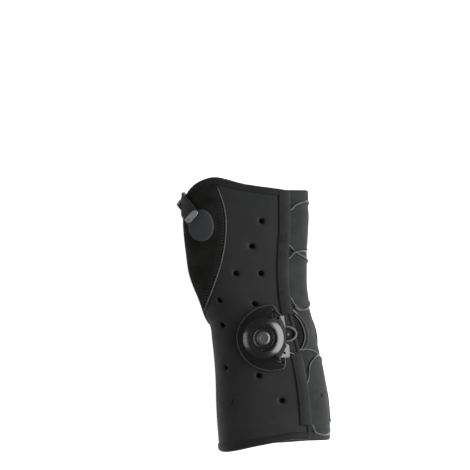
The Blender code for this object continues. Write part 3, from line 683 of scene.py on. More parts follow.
TAPE = cloth(
    "lace channel tape", (0.0095, 0.0101, 0.0099), (0.0145, 0.0152, 0.0150), 2100, 45 * MICRON, 25 * MICRON,
    0.66, 0.04
)
ELASTIC = cloth(
    "elastic webbing", (0.0125, 0.013, 0.0125), (0.019, 0.0195, 0.019), 2600, 40 * MICRON, 25 * MICRON,
    0.55, 0.06
)
THREAD = cloth(
    "thread", (0.012, 0.012, 0.0125), (0.020, 0.020, 0.021), 5000, 10 * MICRON, 15 * MICRON, 0.50, 0.05
)
SEAM_THREAD = cloth(
    "seam thread", (0.013, 0.013, 0.013), (0.030, 0.030, 0.030), 5000, 10 * MICRON, 15 * MICRON, 0.50, 0.05
)
TAB = plastic(
    "hook tab", (0.028, 0.0300, 0.0318), (0.034, 0.0364, 0.0382), 0.60, 18 * MICRON, 700.0, gleam=0.25
)
# The welded end's light grey is a painted highlight: it stands for the gleam on the welded bar's rim.
WELD = plastic("welded end, painted highlight", (0.13, 0.135, 0.14), (0.19, 0.195, 0.20), 0.24, 20 * MICRON, 900.0, coat=0.4)
SATIN = plastic(
    "satin plastic", (0.004, 0.004, 0.0045), (0.006, 0.006, 0.0065), 0.26, 4 * MICRON, scuff=0.08
)
BRIGHT = plastic(
    "polished plastic", (0.006, 0.006, 0.0065), (0.009, 0.009, 0.0095), 0.30, 1 * MICRON, coat=0.3,
    gleam=0.8
)
# Rim grey sits well above the black plastics. It is a painted highlight: it makes the flange's bead, the guide's
# lip and the side loop show the light lines and sheen that catch on them.
RIM_PAINTED_HIGHLIGHT = plastic("rim grey, painted highlight", (0.026, 0.026, 0.027), (0.036, 0.036, 0.037), 0.36, 2 * MICRON, coat=0.3)
HUB = plastic(
    "hub face", (0.040, 0.042, 0.044), (0.052, 0.054, 0.056), 0.28, 2 * MICRON, coat=0.6, gleam=0.8
)
GLOSS = plastic(
    "gloss plastic", (0.0025, 0.0025, 0.003), (0.0035, 0.0035, 0.004), 0.24, 0, scuff=0.05, coat=0.3,
    gleam=0.9
)
LACE = plastic(
    "coated lace", (0.007, 0.007, 0.0075), (0.014, 0.014, 0.015), 0.26, 10 * MICRON, 1500.0, coat=0.3
)
RIVET = plastic("rivet metal", (0.05, 0.052, 0.055), (0.09, 0.092, 0.095), 0.34, 6 * MICRON, metallic=1.0)


def dress(thing, material, body="root", replaces=()):
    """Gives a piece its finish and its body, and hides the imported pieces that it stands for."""
    thing.data.materials.clear()
    thing.data.materials.append(material)
    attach(thing, body)
    if replaces:
        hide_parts(*replaces)
    return thing


print("materials:", len(bpy.data.materials))

# %% [markdown]
# The wrap is a formed sheet 3 mm thick in two panels that part at the thumb opening. It has round holes for
# air. A Boolean would leave ragged shading round each hole, so the grid itself is drawn into rings there: the
# square of cells round a hole's centre is pushed out to a circle, and the faces inside it are left out. The
# grid stops a little inside the true edge, where the hem takes over.

# %% The wrap with its round holes
HOLE_RADIUS = 1.75 * MM
BACK_HOLES = [
    # share of BREADTH from the axis, share of LENGTH along
    (0.047, 0.341),
    (-0.017, 0.249),
    (-0.127, 0.150),
    (0.043, 0.150),
    (-0.235, 0.052),
    (-0.002, 0.039),
    (-0.216, -0.038),
    (-0.194, -0.193),
    (0.025, -0.222),
    (-0.153, -0.318),
    (0.182, -0.312),
]
PALM_HOLES = [
    # angle, share of LENGTH along
    (152.0, -0.330),
    (210.0, -0.300),
    (140.0, -0.120),
    (208.0, -0.060),
    (210.0, 0.180),
]
EDGE_TUCK = 1.2 * MM  # how far inside the true edge the wrap's own surface stops


def panel_arrays(columns, rows_arm, rows_hand, ends, angle_of):
    """Angles and lengths of a panel's grid, in rows up to the notch and rows past it."""
    across = np.linspace(0, 1, columns)
    tuck = EDGE_TUCK / LENGTH
    forearm = (column(ends, 1, across) + tuck) * LENGTH
    knuckles = (column(ends, 2, across) - tuck) * LENGTH
    low = np.linspace(0, 1, rows_arm)[:, None]
    high = (np.linspace(0, 1, rows_hand) ** 1.15)[1:, None]
    y = np.concatenate([forearm + (NOTCH - forearm) * low, NOTCH + (knuckles - NOTCH) * high])
    return angle_of(across, y), y


def open_hole(angle, y, proud, centre_angle, centre_y, keep, inner=2, outer=4):
    """Pushes the cells round a hole's centre into rings. A point whose cell is c cells away goes to the circle
    of radius HOLE_RADIUS times c / inner, and fades back to its own place at outer cells."""
    stretch = pace(centre_angle, centre_y)
    across = (angle - centre_angle) * stretch
    along = y - centre_y
    row, col = np.unravel_index(np.argmin(across**2 + along**2), y.shape)
    rows = slice(row - outer, row + outer + 1)
    cols = slice(col - outer, col + outer + 1)
    di, dj = np.meshgrid(np.arange(-outer, outer + 1), np.arange(-outer, outer + 1), indexing="ij")
    cells = np.maximum(np.abs(di), np.abs(dj))
    local_u, local_v = across[rows, cols], along[rows, cols]
    turn = np.arctan2(local_v - along[row, col], local_u - across[row, col])
    own = np.clip((cells - inner) / (outer - inner), 0, 1)
    reach = HOLE_RADIUS * cells / inner
    new_u = own * local_u + (1 - own) * reach * np.cos(turn)
    new_v = own * local_v + (1 - own) * reach * np.sin(turn)
    angle[rows, cols] = centre_angle + new_u / stretch
    y[rows, cols] = centre_y + new_v
    proud[rows, cols] -= np.where(cells == inner, 0.45 * MM, np.where(cells == inner + 1, 0.06 * MM, 0))
    keep[row - inner : row + inner, col - inner : col + inner] = False


def panel(columns, rows_arm, rows_hand, ends, angle_of, holes, tuck_first, tuck_last):
    """One panel's points, faces and surface coordinates, with its holes opened."""
    angle, y = panel_arrays(columns, rows_arm, rows_hand, ends, angle_of)
    fade = np.linspace(0, 1, columns)
    angle = step_round(angle, y, EDGE_TUCK * (tuck_first(y) * (1 - fade) ** 8 - tuck_last(y) * fade**8))
    proud = 0.10 * MM * np.sin(girth(angle, y) / (9 * MM)) * np.sin(y / (13 * MM)) - 0.15 * MM
    keep = np.ones((y.shape[0] - 1, columns - 1), bool)
    for centre_angle, centre_y in holes:
        open_hole(angle, y, proud, centre_angle, centre_y, keep)
    return skin(angle, y, proud), np.stack([girth(angle, y), y], -1), keep


def past_notch(y):
    return np.clip((y - NOTCH) / (6 * MM), 0, 1)


def always(y):
    return np.ones_like(y)


ROWS_ARM, ROWS_HAND = 80, 84
back_holes = [(angle_at(x * BREADTH, y * LENGTH), y * LENGTH) for x, y in BACK_HOLES]
palm_holes = [(math.radians(angle), y * LENGTH) for angle, y in PALM_HOLES]
back_grid, back_uv, back_keep = panel(
    92, ROWS_ARM, ROWS_HAND, BACK_ENDS, back_angle, back_holes, always, past_notch
)
palm_grid, palm_uv, palm_keep = panel(
    84, ROWS_ARM, ROWS_HAND, PALM_ENDS, palm_angle, palm_holes, past_notch, always
)


def joined_panels(name, grids, coordinates, keeps):
    """Both panels as one mesh, welded along the seam, with a wall inwards in its lining."""
    points, quads, pairs, start = [], [], [], 0
    for grid, uv, keep in zip(grids, coordinates, keeps):
        corner = quads_of(*grid.shape[:2])[keep.reshape(-1)]
        points.append(grid.reshape(-1, 3))
        pairs.append(uv.reshape(-1, 2)[corner])
        quads.append(corner + start)
        start += len(points[-1])
    wrap = build(name, np.concatenate(points), np.concatenate(quads), np.concatenate(pairs))
    weld = wrap.modifiers.new("seam", "WELD")
    weld.merge_threshold = 0.02 * MM
    wall = wrap.modifiers.new("wall", "SOLIDIFY")
    wall.thickness = SHELL_WALL
    wall.offset = -1.0
    wall.use_even_offset = True
    wall.material_offset = 1
    wall.material_offset_rim = 0
    return wrap


wrap = joined_panels("wrap", [back_grid, palm_grid], [back_uv, palm_uv], [back_keep, palm_keep])
dress(wrap, FACE, replaces=["shell"])
wrap.data.materials.append(LINING)
print("wrap faces:", len(wrap.data.polygons))

# %% [markdown]
# A flat hem runs round the whole edge of the wrap, wider at the knuckles and the forearm than along the thumb.
# It is one band, folded over the edge. The edge is a closed path, so the hem is a profile carried along it:
# every point of the profile is a distance in from the edge and a height over the skin.

# %% The hem round the wrap's edge
TOP_HEM = 4.3 * MM
THUMB_HEM = 3.3 * MM
FOREARM_HEM = 4.3 * MM
LACE_HEM = 2.6 * MM


def edge_walk(stretches, spacing):
    """Joins stretches of the edge, each with a hem width, and spaces their points evenly in the unrolled plane
    of girth and length. Returns angle, length and width."""
    angle = np.concatenate([stretch[0] for stretch in stretches])
    y = np.concatenate([stretch[1] for stretch in stretches])
    width = np.concatenate([np.full(len(stretch[1]), stretch[2]) for stretch in stretches])
    u = girth(angle, y)
    run = np.concatenate([[0.0], np.cumsum(np.hypot(np.diff(u), np.diff(y)))])
    fresh = np.concatenate([[True], np.diff(run) > 1e-7])
    count = int(run[-1] / spacing)
    at = np.linspace(0, run[-1], count, endpoint=False)
    return [np.interp(at, run[fresh], values[fresh]) for values in (angle, y, width)]


def softened(values, reach, closed=True):
    """A moving average, twice, which rounds the corners of a path."""
    for _ in range(2):
        if closed:
            padded = np.concatenate([values[-reach:], values, values[:reach]])
        else:
            padded = np.concatenate([np.full(reach, values[0]), values, np.full(reach, values[-1])])
        values = np.convolve(padded, np.full(2 * reach + 1, 1 / (2 * reach + 1)), mode="valid")
    return values


def hem_grid(angle, y, width, profile, base=0.0, closed=True, inward=1.0):
    """Each profile point is a share of the width, a distance in, and a height. The direction in is the path's
    tangent in the unrolled plane turned by a quarter."""
    def slope(values):
        return np.roll(values, -1) - np.roll(values, 1) if closed else np.gradient(values)

    du = slope(angle) * pace(angle, y)
    dv = slope(y)
    size = np.hypot(du, dv)
    into_u, into_v = dv / size * inward, -du / size * inward
    share, distance, height = (np.array([row[k] for row in profile])[None, :] for k in range(3))
    reach = share * width[:, None] + distance
    new_y = y[:, None] + reach * into_v[:, None]
    new_angle = step_round(angle[:, None] + 0 * new_y, new_y, reach * into_u[:, None])
    return skin(new_angle, new_y, base + height)


def folded_profile(wall, over=0.50 * MM):
    """The hem's section: up at its inner border, flat, round the edge, and back on the inner face."""
    return [
        (1.0, 0.0, -0.40 * MM),
        (1.0, 0.02 * MM, 0.55 * over),
        (1.0, -0.30 * MM, over),
        (0.5, 0.0, 1.12 * over),
        (0.0, 1.00 * MM, over),
        (0.0, 0.30 * MM, 0.45 * over),
        (0.0, -0.20 * MM, -0.14 * wall),
        (0.0, -0.42 * MM, -0.5 * wall),
        (0.0, -0.20 * MM, -0.86 * wall),
        (0.0, 0.30 * MM, -wall - 0.40 * over),
        (0.0, 1.00 * MM, -wall - 0.85 * over),
        (0.6, 0.0, -wall - 0.85 * over),
        (1.0, -0.30 * MM, -wall - 0.75 * over),
        (1.0, 0.0, -wall + 0.30 * MM),
    ]


def edge_stretches():
    """The wrap's edge, once round: lace edge, knuckles, thumb opening, palm, its lace edge and the forearm."""
    t = np.linspace(0, 1, 240)
    back_low, back_high = BACK_ENDS[0, 1] * LENGTH, BACK_ENDS[0, 2] * LENGTH
    thumb_high, palm_high = BACK_ENDS[-1, 2] * LENGTH, PALM_ENDS[0, 2] * LENGTH
    lace_y = back_low + (back_high - back_low) * t
    top_y = column(BACK_ENDS, 2, t) * LENGTH
    thumb_y = NOTCH + (thumb_high - NOTCH) * (1 - t) ** 2
    palm_y = NOTCH + (palm_high - NOTCH) * t**2
    palm_top_y = column(PALM_ENDS, 2, t) * LENGTH
    palm_lace_high, palm_lace_low = PALM_ENDS[-1, 2] * LENGTH, PALM_ENDS[-1, 1] * LENGTH
    palm_lace_y = palm_lace_high + (palm_lace_low - palm_lace_high) * t
    palm_arm_y = column(PALM_ENDS, 1, 1 - t) * LENGTH
    back_arm_y = column(BACK_ENDS, 1, 1 - t) * LENGTH
    return [
        (lace_edge(lace_y), lace_y, LACE_HEM),
        (back_angle(t, top_y), top_y, TOP_HEM),
        (panel_edge(1, thumb_y), thumb_y, THUMB_HEM),
        (panel_edge(2, palm_y), palm_y, THUMB_HEM),
        (palm_angle(t, palm_top_y), palm_top_y, TOP_HEM),
        (palm_lace_edge(palm_lace_y) + 2 * math.pi, palm_lace_y, LACE_HEM),
        (palm_angle(1 - t, palm_arm_y), palm_arm_y, FOREARM_HEM),
        (back_angle(1 - t, back_arm_y), back_arm_y, FOREARM_HEM),
    ]


HEM_STEP = 0.7 * MM
hem_angle, hem_y, hem_width = edge_walk(edge_stretches(), HEM_STEP)
hem_angle, hem_y = softened(hem_angle, 2), softened(hem_y, 2)
hem_width = softened(hem_width, 5)
hem = grid_piece(
    "edge_hem",
    hem_grid(hem_angle, hem_y, hem_width, folded_profile(SHELL_WALL)),
    ring_rows=True,
    ring_columns=True,
    size=(len(hem_y) * HEM_STEP, 12 * MM),
)
dress(hem, HEM)
print("hem sections:", len(hem_y))

# %% [markdown]
# The tongue is a soft liner about 2.4 mm thick that closes the open side. It is pulled snug by the lace, so it
# swells a little between the strands and dips under them. The swelling is a sum of smooth bumps over the same
# angle and length, and the piece is closed by carrying its section, a flat loop with round ends, along the arm.

# %% The tongue
TONGUE_ENDS = (-0.457, 0.4525)
BACK_LAP = 13.0 * MM
PALM_LAP = 10.0 * MM
TONGUE_SKIN = -(SHELL_WALL + TONGUE_GAP)
LACE_DIPS = [0.395, 0.232, 0.020, -0.155, -0.425]  # where strands cross, as shares of LENGTH


def tongue_relief(angle, y):
    """Swells of the tongue: a slow wave, less a dip under each strand and along the hems, and gone under the
    panels' edges."""
    share = y / LENGTH
    dips = sum(np.exp(-(((share - place) / 0.020) ** 2)) for place in LACE_DIPS)
    edge = lace_edge(y)
    across = np.clip((angle - edge) / (palm_lace_edge(y) - edge), 0, 1)
    middle = np.sin(math.pi * across)
    wave = 0.10 * np.sin(y / (5.5 * MM) + 2.0 * across) + 0.06 * np.sin(y / (2.9 * MM) - 3.0 * across)
    return MM * middle * (0.30 - 0.42 * np.clip(dips, 0, 1) + wave)


def tongue_grid():
    """Rows along the arm; columns run over the outer face from lap to lap and back along the inner face."""
    rows = np.linspace(0, 1, 230)[:, None]
    y = LENGTH * (TONGUE_ENDS[0] + (TONGUE_ENDS[1] - TONGUE_ENDS[0]) * rows)
    start = step_round(lace_edge(y), y, BACK_LAP)
    end = step_round(palm_lace_edge(y), y, -PALM_LAP)
    across = np.linspace(0, 1, 74)[None, :]
    angle = start + (end - start) * across
    length = y + 0 * angle
    nearness = np.minimum(across, 1 - across) / 0.03
    thin = np.sqrt(np.clip(1 - (1 - np.clip(nearness, 0, 1)) ** 2, 0, 1))
    outer = skin(
        angle, length, TONGUE_SKIN - TONGUE_WALL / 2 + thin * TONGUE_WALL / 2 + tongue_relief(angle, length)
    )
    inner = skin(angle, length, TONGUE_SKIN - TONGUE_WALL / 2 - thin * TONGUE_WALL / 2)
    return np.concatenate([outer, inner[:, ::-1][:, 1:-1]], axis=1)


tongue = grid_piece("tongue_liner", tongue_grid(), ring_columns=True, size=(LENGTH, 0.09))
dress(tongue, TONGUE, replaces=["tongue"])


def tongue_hem(name, share, width, inward):
    """A folded hem across one end of the tongue."""
    across = np.linspace(0, 1, 130)
    y = np.full_like(across, share * LENGTH)
    start = step_round(lace_edge(y), y, BACK_LAP - 1.0 * MM)
    end = step_round(palm_lace_edge(y), y, -PALM_LAP + 1.0 * MM)
    angle = start + (end - start) * across
    grid = hem_grid(
        angle, y, np.full_like(y, width), folded_profile(TONGUE_WALL, 0.30 * MM), TONGUE_SKIN, False, inward
    )
    return dress(
        grid_piece(name, grid, ring_columns=True, size=(0.09, 14 * MM)), TONGUE
    )


tongue_hem("tongue_hem_knuckles", TONGUE_ENDS[1], 6.8 * MM, -1.0)
tongue_hem("tongue_hem_forearm", TONGUE_ENDS[0], 6.8 * MM, 1.0)
print("tongue rows:", 230)

# %% [markdown]
# The loop patch is a lens of black pile between a piped seam and the hems. Its loops are far finer than a
# pixel, so the pile is a rough skin: the grid's points are lifted by a seeded random height. The piped seam
# is a cord with the small ribs of its overlocked thread, and a zigzag of thread runs beside it on the pile.

# %% Loop patch, piped seam and zigzag
PATCH_WALL = 1.0 * MM
PIPING_RADIUS = 0.45 * MM
PATCH_EDGE = np.array(
    [
        # share of LENGTH along, share of BREADTH from the axis
        (0.014, -0.333),
        (0.053, -0.310),
        (0.117, -0.268),
        (0.184, -0.230),
        (0.248, -0.206),
        (0.314, -0.196),
        (0.366, -0.200),
        (0.415, -0.220),
        (0.460, -0.250),
    ]
)


def patch_seam(y):
    return angle_at(column(PATCH_EDGE, 1, np.asarray(y) / LENGTH) * BREADTH, y)


def patch_side(y):
    return step_round(panel_edge(1, y), y, -THUMB_HEM + 0.2 * MM)


def patch_top(across):
    near_top = LENGTH * 0.44
    angle = patch_seam(near_top) + (patch_side(near_top) - patch_seam(near_top)) * across
    share = (angle - lace_edge(near_top)) / (panel_edge(1, near_top) - lace_edge(near_top))
    return column(BACK_ENDS, 2, np.clip(share, 0, 1)) * LENGTH - TOP_HEM + 0.2 * MM


def loop_patch():
    """Outer face and inner face of the patch in one closed loop across, as the tongue's."""
    rng = np.random.default_rng(7)
    across = np.linspace(0, 1, 56)[None, :]
    rows = np.linspace(0, 1, 150)[:, None]
    bottom = LENGTH * (PATCH_EDGE[0, 0] + 0.004)
    y = bottom + (patch_top(across) - bottom) * rows
    angle = patch_seam(y) + (patch_side(y) - patch_seam(y)) * across
    rim = np.minimum(np.minimum(across, 1 - across) / 0.03, np.minimum(rows, 1 - rows) / 0.012)
    rim = np.sqrt(1 - (1 - np.clip(rim, 0, 1)) ** 2)
    pile = 0.16 * MM * rng.random(y.shape)
    outer = skin(angle, y, -0.1 * MM + rim * (PATCH_WALL + pile))
    inner = skin(angle, y, -0.5 * MM)
    grid = np.concatenate([outer, inner[:, ::-1]], axis=1)
    return grid_piece("loop_field", grid, ring_columns=True, size=(0.082, 0.056))


dress(loop_patch(), PILE, replaces=["loop_patch"])


def seam_path(offset, proud, count, first=0.0, last=1.0):
    """A line beside the piped seam: offset is how far it lies towards the thumb."""
    low, high = PATCH_EDGE[0, 0], PATCH_EDGE[-1, 0]
    y = (low + (high - low) * np.linspace(first, last, count)) * LENGTH
    return skin(step_round(patch_seam(y), y, offset), y, proud)


piping_path = seam_path(-0.7 * MM, 0.55 * MM, 420)
ribs = 1 + 0.14 * np.sin(path_length(piping_path) / (1.3 * MM) * 2 * math.pi)
ribs[[0, -1]] = 0.4
# Its pale grey finish is the painted highlight of the raised seam.
piping = grid_piece(
    "seam_piping", tube_grid(piping_path, PIPING_RADIUS * ribs, 14), ring_columns=True,
    size=(0.09, 4.7 * MM)
)
dress(piping, PIPING_PAINTED_HIGHLIGHT, replaces=["patch_piping"])

ZIGZAG = 36
near_seam = seam_path(0.2 * MM, PATCH_WALL + 0.05 * MM, ZIGZAG + 1, 0.06, 0.985)
off_seam = seam_path(3.4 * MM, PATCH_WALL + 0.12 * MM, 4 * ZIGZAG + 1, 0.06, 0.985)
starts = np.concatenate([near_seam[:-1], off_seam[1::4], off_seam[3::4]])
ends = np.concatenate([off_seam[1::4], off_seam[3::4], near_seam[1:]])
dress(stitch_row("patch_zigzag", starts, ends, 0.15 * MM, 0.15 * MM), SEAM_THREAD)
print("zigzag stitches:", len(starts))

# %% [markdown]
# The lace runs in channels of folded tape sewn along both lace edges. A channel is flat where it is sewn down
# and swells over the lace beside the edge, then wraps the wrap's cut edge. The section is written once as
# distance and height and carried along the arm; the palm's channels are its mirror.

# %% Lace channels
CHANNELS = [
    # name, replaced node, first and last share of LENGTH, edge, side
    ("back_channel_upper", "dorsal_strip_upper", 0.002, 0.4515, lace_edge, 1.0),
    ("back_channel_lower", "dorsal_strip_lower", -0.402, -0.134, lace_edge, 1.0),
    ("palm_channel_upper", "palmar_strip_upper", 0.002, 0.380, palm_lace_edge, -1.0),
    ("palm_channel_lower", "palmar_strip_lower", -0.412, -0.134, palm_lace_edge, -1.0),
]
CHANNEL_SECTION = MM * np.array(
    [
        # distance in from the edge, height over the skin
        (7.30, -0.30),
        (7.32, 0.55),
        (7.10, 0.85),
        (6.30, 0.84),
        (5.90, 0.90),
        (4.90, 1.12),
        (3.90, 1.24),
        (2.60, 1.30),
        (1.30, 1.28),
        (0.40, 1.16),
        (-0.10, 0.80),
        (-0.40, 0.10),
        (-0.50, -1.20),
        (-0.45, -2.50),
        (-0.20, -3.25),
        (0.60, -3.50),
        (2.60, -3.52),
        (2.80, -2.60),
    ]
)


def channel(name, node, first, last, edge, side):
    """Height is eased down over the last millimetre at each end, so that the folded tape closes softly."""
    y = np.linspace(first, last, int((last - first) * LENGTH / (0.8 * MM)))[:, None] * LENGTH
    from_end = np.minimum(y - y[0], y[-1] - y)
    ease = 0.55 + 0.45 * np.sqrt(1 - (1 - np.clip(from_end / (1.2 * MM), 0, 1)) ** 2)
    distance, height = CHANNEL_SECTION[None, :, 0], CHANNEL_SECTION[None, :, 1]
    pucker = 0.05 * MM * np.sin(y / (1.9 * MM)) * (height > 1.0 * MM)
    height = np.where(height > 0, height * ease + pucker, height)
    angle = step_round(edge(y) + 0 * distance, y + 0 * distance, side * distance)
    grid = skin(angle, y + 0 * distance, height)
    piece = grid_piece(name, grid, ring_columns=True, size=((last - first) * LENGTH, 24 * MM))
    dress(piece, TAPE, replaces=[node])
    line = np.linspace(first + 0.01, last - 0.01, 200) * LENGTH
    sewn = skin(step_round(edge(line), line, side * 6.5 * MM), line, 0.88 * MM)
    row = run_of_stitches(name + "_stitches", sewn, 2.2 * MM, 1.5 * MM, 0.19 * MM, 0.16 * MM)
    dress(row, SEAM_THREAD)


for row in CHANNELS:
    channel(*row)


def bar_tack(name, share, count, edge, side):
    """Close threads across a channel, where it is sewn through to shut the lace's tunnel."""
    y = share * LENGTH + np.arange(count) * 0.78 * MM
    starts = skin(step_round(edge(y), y, side * 6.9 * MM), y, 0.90 * MM)
    middles = skin(step_round(edge(y), y, side * 3.9 * MM), y, 1.28 * MM)
    ends = skin(step_round(edge(y), y, side * 0.6 * MM), y, 1.26 * MM)
    halves = np.concatenate([starts, middles]), np.concatenate([middles, ends])
    return dress(stitch_row(name, *halves, 0.24 * MM, 0.18 * MM), THREAD)


for number, (share, count) in enumerate([(0.2690, 8), (0.2075, 6)]):
    bar_tack(f"back_bar_tack_{number}", share, count, lace_edge, 1.0)
    bar_tack(f"palm_bar_tack_{number}", share, count, palm_lace_edge, -1.0)
print("channels:", len(CHANNELS))

# %% [markdown]
# The lace is a coated cord about a millimetre thick. It is held all the way, so it isn't a free cord: each
# visible stretch starts under one channel and ends under the other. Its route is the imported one: a share of
# the way across the open side, and a share of the length. Close to the channels it stands as high as they do,
# and between them it lies on the tongue.

# %% The lace
LACE_RADIUS = 0.58 * MM
LACE_ROUTES = {
    "lace_top": [(0.03, 0.380), (0.12, 0.396), (0.26, 0.408), (0.50, 0.414), (0.75, 0.400), (0.97, 0.372)],
    "lace_cross_low": [
        (0.03, 0.252), (0.14, 0.231), (0.30, 0.215), (0.52, 0.200), (0.76, 0.184), (0.97, 0.168)
    ],
    "lace_cross_high": [
        (0.03, 0.203), (0.11, 0.224), (0.26, 0.231), (0.52, 0.232), (0.76, 0.240), (0.97, 0.255)
    ],
    "lace_bow_upper": [
        (0.03, 0.066), (0.08, 0.036), (0.22, 0.018), (0.40, 0.022), (0.62, 0.042), (0.97, 0.060)
    ],
    "lace_lower": [
        (0.03, -0.250), (0.08, -0.213), (0.20, -0.172), (0.42, -0.150), (0.70, -0.168), (0.97, -0.200)
    ],
    "lace_bottom": [
        (0.03, -0.398), (0.12, -0.428), (0.28, -0.438), (0.50, -0.436), (0.75, -0.420), (0.97, -0.385)
    ],
    "lace_side_bow": [
        (0.03, 0.012), (0.14, 0.004), (0.24, -0.028), (0.30, -0.065), (0.27, -0.100), (0.17, -0.130),
        (0.03, -0.142)
    ],
    "lace_palm_bow": [
        (0.97, 0.012), (0.86, 0.002), (0.77, -0.030), (0.72, -0.065), (0.75, -0.100), (0.84, -0.128),
        (0.97, -0.142)
    ],
}
TUCKED = 0.035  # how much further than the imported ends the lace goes, out of sight under a channel


def lace_path(route, radius, count=90):
    """A cubic through the route's points, laid on the tongue and lifted near both channels."""
    route = np.array(route)
    ends = np.where(route[[0, -1], 0] < 0.5, route[[0, -1], 0] - TUCKED, route[[0, -1], 0] + TUCKED)
    route[[0, -1], 0] = ends
    knots = np.linspace(0, 1, len(route))
    t = np.linspace(0, 1, count)
    across = smooth_curve(knots, route[:, 0], t)
    y = smooth_curve(knots, route[:, 1], t) * LENGTH
    angle = lace_edge(y) + (palm_lace_edge(y) - lace_edge(y)) * across
    low = TONGUE_SKIN + tongue_relief(angle, y) + 0.75 * radius
    high = 0.55 * MM
    near = np.clip(1 - np.minimum(across, 1 - across) / 0.15, 0, 1)
    return angle, y, low + (high - low) * (3 * near**2 - 2 * near**3)


GUIDE = np.array(
    [
        # share of LENGTH along, share of BREADTH from the axis, half-width in mm
        (0.0085, 0.264, 0.40),
        (-0.0113, 0.300, 0.75),
        (-0.0350, 0.328, 0.95),
        (-0.0624, 0.345, 1.05),
        (-0.0880, 0.349, 1.00),
        (-0.1135, 0.337, 0.80),
        (-0.1340, 0.314, 0.45),
    ]
)


def guide_share(points=90):
    """Length and share of the way across the open side of the guide's middle line, and its half-width."""
    t = np.linspace(0, 1, points)
    knots = np.linspace(0, 1, len(GUIDE))
    y = smooth_curve(knots, GUIDE[:, 0], t) * LENGTH
    x = smooth_curve(knots, GUIDE[:, 1], t) * BREADTH
    edge = lace_edge(y)
    seen = angle_at(x, y, TONGUE_SKIN + 1.5 * MM)
    return y, (seen - edge) / (palm_lace_edge(y) - edge), smooth_curve(knots, GUIDE[:, 2], t) * MM


def across_angle(share, y):
    return lace_edge(y) + (palm_lace_edge(y) - lace_edge(y)) * share


def lace_guide(name, mirrored):
    """A crescent strap with a raised outer lip, and behind it a dark sheet of painted shade that fills the deep
    gap by the panel's edge.
    """
    y, share, half = guide_share()
    share = 1 - share if mirrored else share
    away = 1.0 if mirrored else -1.0  # the sign of a walk away from the channel
    middle = across_angle(share, y)[:, None]
    y, half = y[:, None], half[:, None]
    section_of = [
        # share of the half-width away from the channel, height over the tongue
        (-1.0, 0.2), (-1.0, 1.1), (-0.75, 1.35), (0.1, 1.45), (0.55, 1.85), (0.85, 1.95), (1.0, 1.6),
        (1.05, 0.9), (1.0, 0.1)
    ]
    aside, height = (np.array([row[k] for row in section_of])[None, :] for k in range(2))
    ease = np.sqrt(np.clip(1 - np.linspace(-1, 1, len(y))[:, None] ** 4, 0.05, 1))
    angle = step_round(middle + 0 * aside, y + 0 * aside, away * half * aside)
    band = skin(angle, y + 0 * aside, TONGUE_SKIN + height * MM * ease)
    dress(grid_piece(name, band, ring_columns=True, size=(0.03, 0.008)), TAPE)
    # The bead's rim grey is a painted highlight along the strap's outer lip.
    bead = skin(angle[:, 6], y[:, 0], (TONGUE_SKIN + height[:, 6] * MM * ease)[:, 0])
    dress(tube(name + "_bead", bead, 0.30 * MM, 10), RIM_PAINTED_HIGHLIGHT)
    # Painted shade: a thin near-black sheet on the tongue between the channel's edge and the strap, standing for
    # the shade in the deep gap there.
    edge = (palm_lace_edge if mirrored else lace_edge)(y)
    inner = step_round(edge, y, -away * 2.0 * MM)
    across = np.linspace(0, 1, 12)[None, :]
    shade_sheet_angle = inner + (middle - inner) * across
    above = skin(shade_sheet_angle, y + 0 * across, TONGUE_SKIN + 0.42 * MM)
    below = skin(shade_sheet_angle, y + 0 * across, TONGUE_SKIN - 0.10 * MM)
    shade_sheet = np.concatenate([above, below[:, ::-1]], axis=1)
    dress(grid_piece(name + "_web", shade_sheet, ring_columns=True, size=(0.03, 0.02)), PILE)


lace_guide("back_lace_guide", False)
lace_guide("palm_lace_guide", True)

for name, route in LACE_ROUTES.items():
    angle, y, height = lace_path(route, LACE_RADIUS)
    if name == "lace_cross_high":
        other = skin(*lace_path(LACE_ROUTES["lace_cross_low"], LACE_RADIUS, 400))[:, None]
        apart = np.linalg.norm(skin(angle, y, height)[:, :2] - other[..., :2], axis=-1).min(axis=0)
        height = height + 1.9 * LACE_RADIUS * np.exp(-((apart / (5 * LACE_RADIUS)) ** 2))
    if name.endswith("_bow"):
        y, share, half = guide_share()
        share = share - 0.035
        share = 1 - share if name == "lace_palm_bow" else share
        angle, height = across_angle(share, y), TONGUE_SKIN + 1.0 * MM
    dress(tube(name + "_cord", skin(angle, y, height), LACE_RADIUS, 14), LACE, replaces=[name])

EXTRA_STRANDS = {
    # points as shares of BREADTH from the axis and LENGTH along, and a height over the skin in mm
    "second_bow_strand": [
        (0.268, 0.026, -2.2), (0.300, 0.015, -2.3), (0.330, 0.017, -2.2), (0.362, 0.024, -2.2)
    ],
    "guide_strand": [
        (0.300, -0.128, -2.4), (0.345, -0.126, -2.4), (0.385, -0.131, -2.3), (0.425, -0.146, -2.2)
    ],
    "wing_strand": [
        (0.075, -0.150, 2.3), (0.118, -0.161, 2.25), (0.150, -0.169, 2.2), (0.178, -0.172, 1.6)
    ],
    "channel_strand": [
        (0.195, -0.137, 3.4), (0.218, -0.1365, 3.0), (0.240, -0.139, 2.2), (0.262, -0.143, 1.4)
    ],
    "guide_anchor": [
        (0.250, 0.0150, 0.5), (0.258, 0.0130, 0.4), (0.268, 0.0080, -0.2), (0.280, 0.0015, -0.9)
    ],
}
STRAND_RADIUS = 0.42 * MM
ANCHOR_RADIUS = 0.85 * MM
for name, points in EXTRA_STRANDS.items():
    points = np.array(points)
    knots, t = np.linspace(0, 1, len(points)), np.linspace(0, 1, 60)
    x, y, height = (
        smooth_curve(knots, points[:, k], t) * unit for k, unit in enumerate((BREADTH, LENGTH, MM))
    )
    radius = ANCHOR_RADIUS if name == "guide_anchor" else STRAND_RADIUS
    dress(tube(name, skin(angle_at(x, y, height), y, height), radius, 12), LACE)
print("lace stretches:", len(LACE_ROUTES) + len(EXTRA_STRANDS))

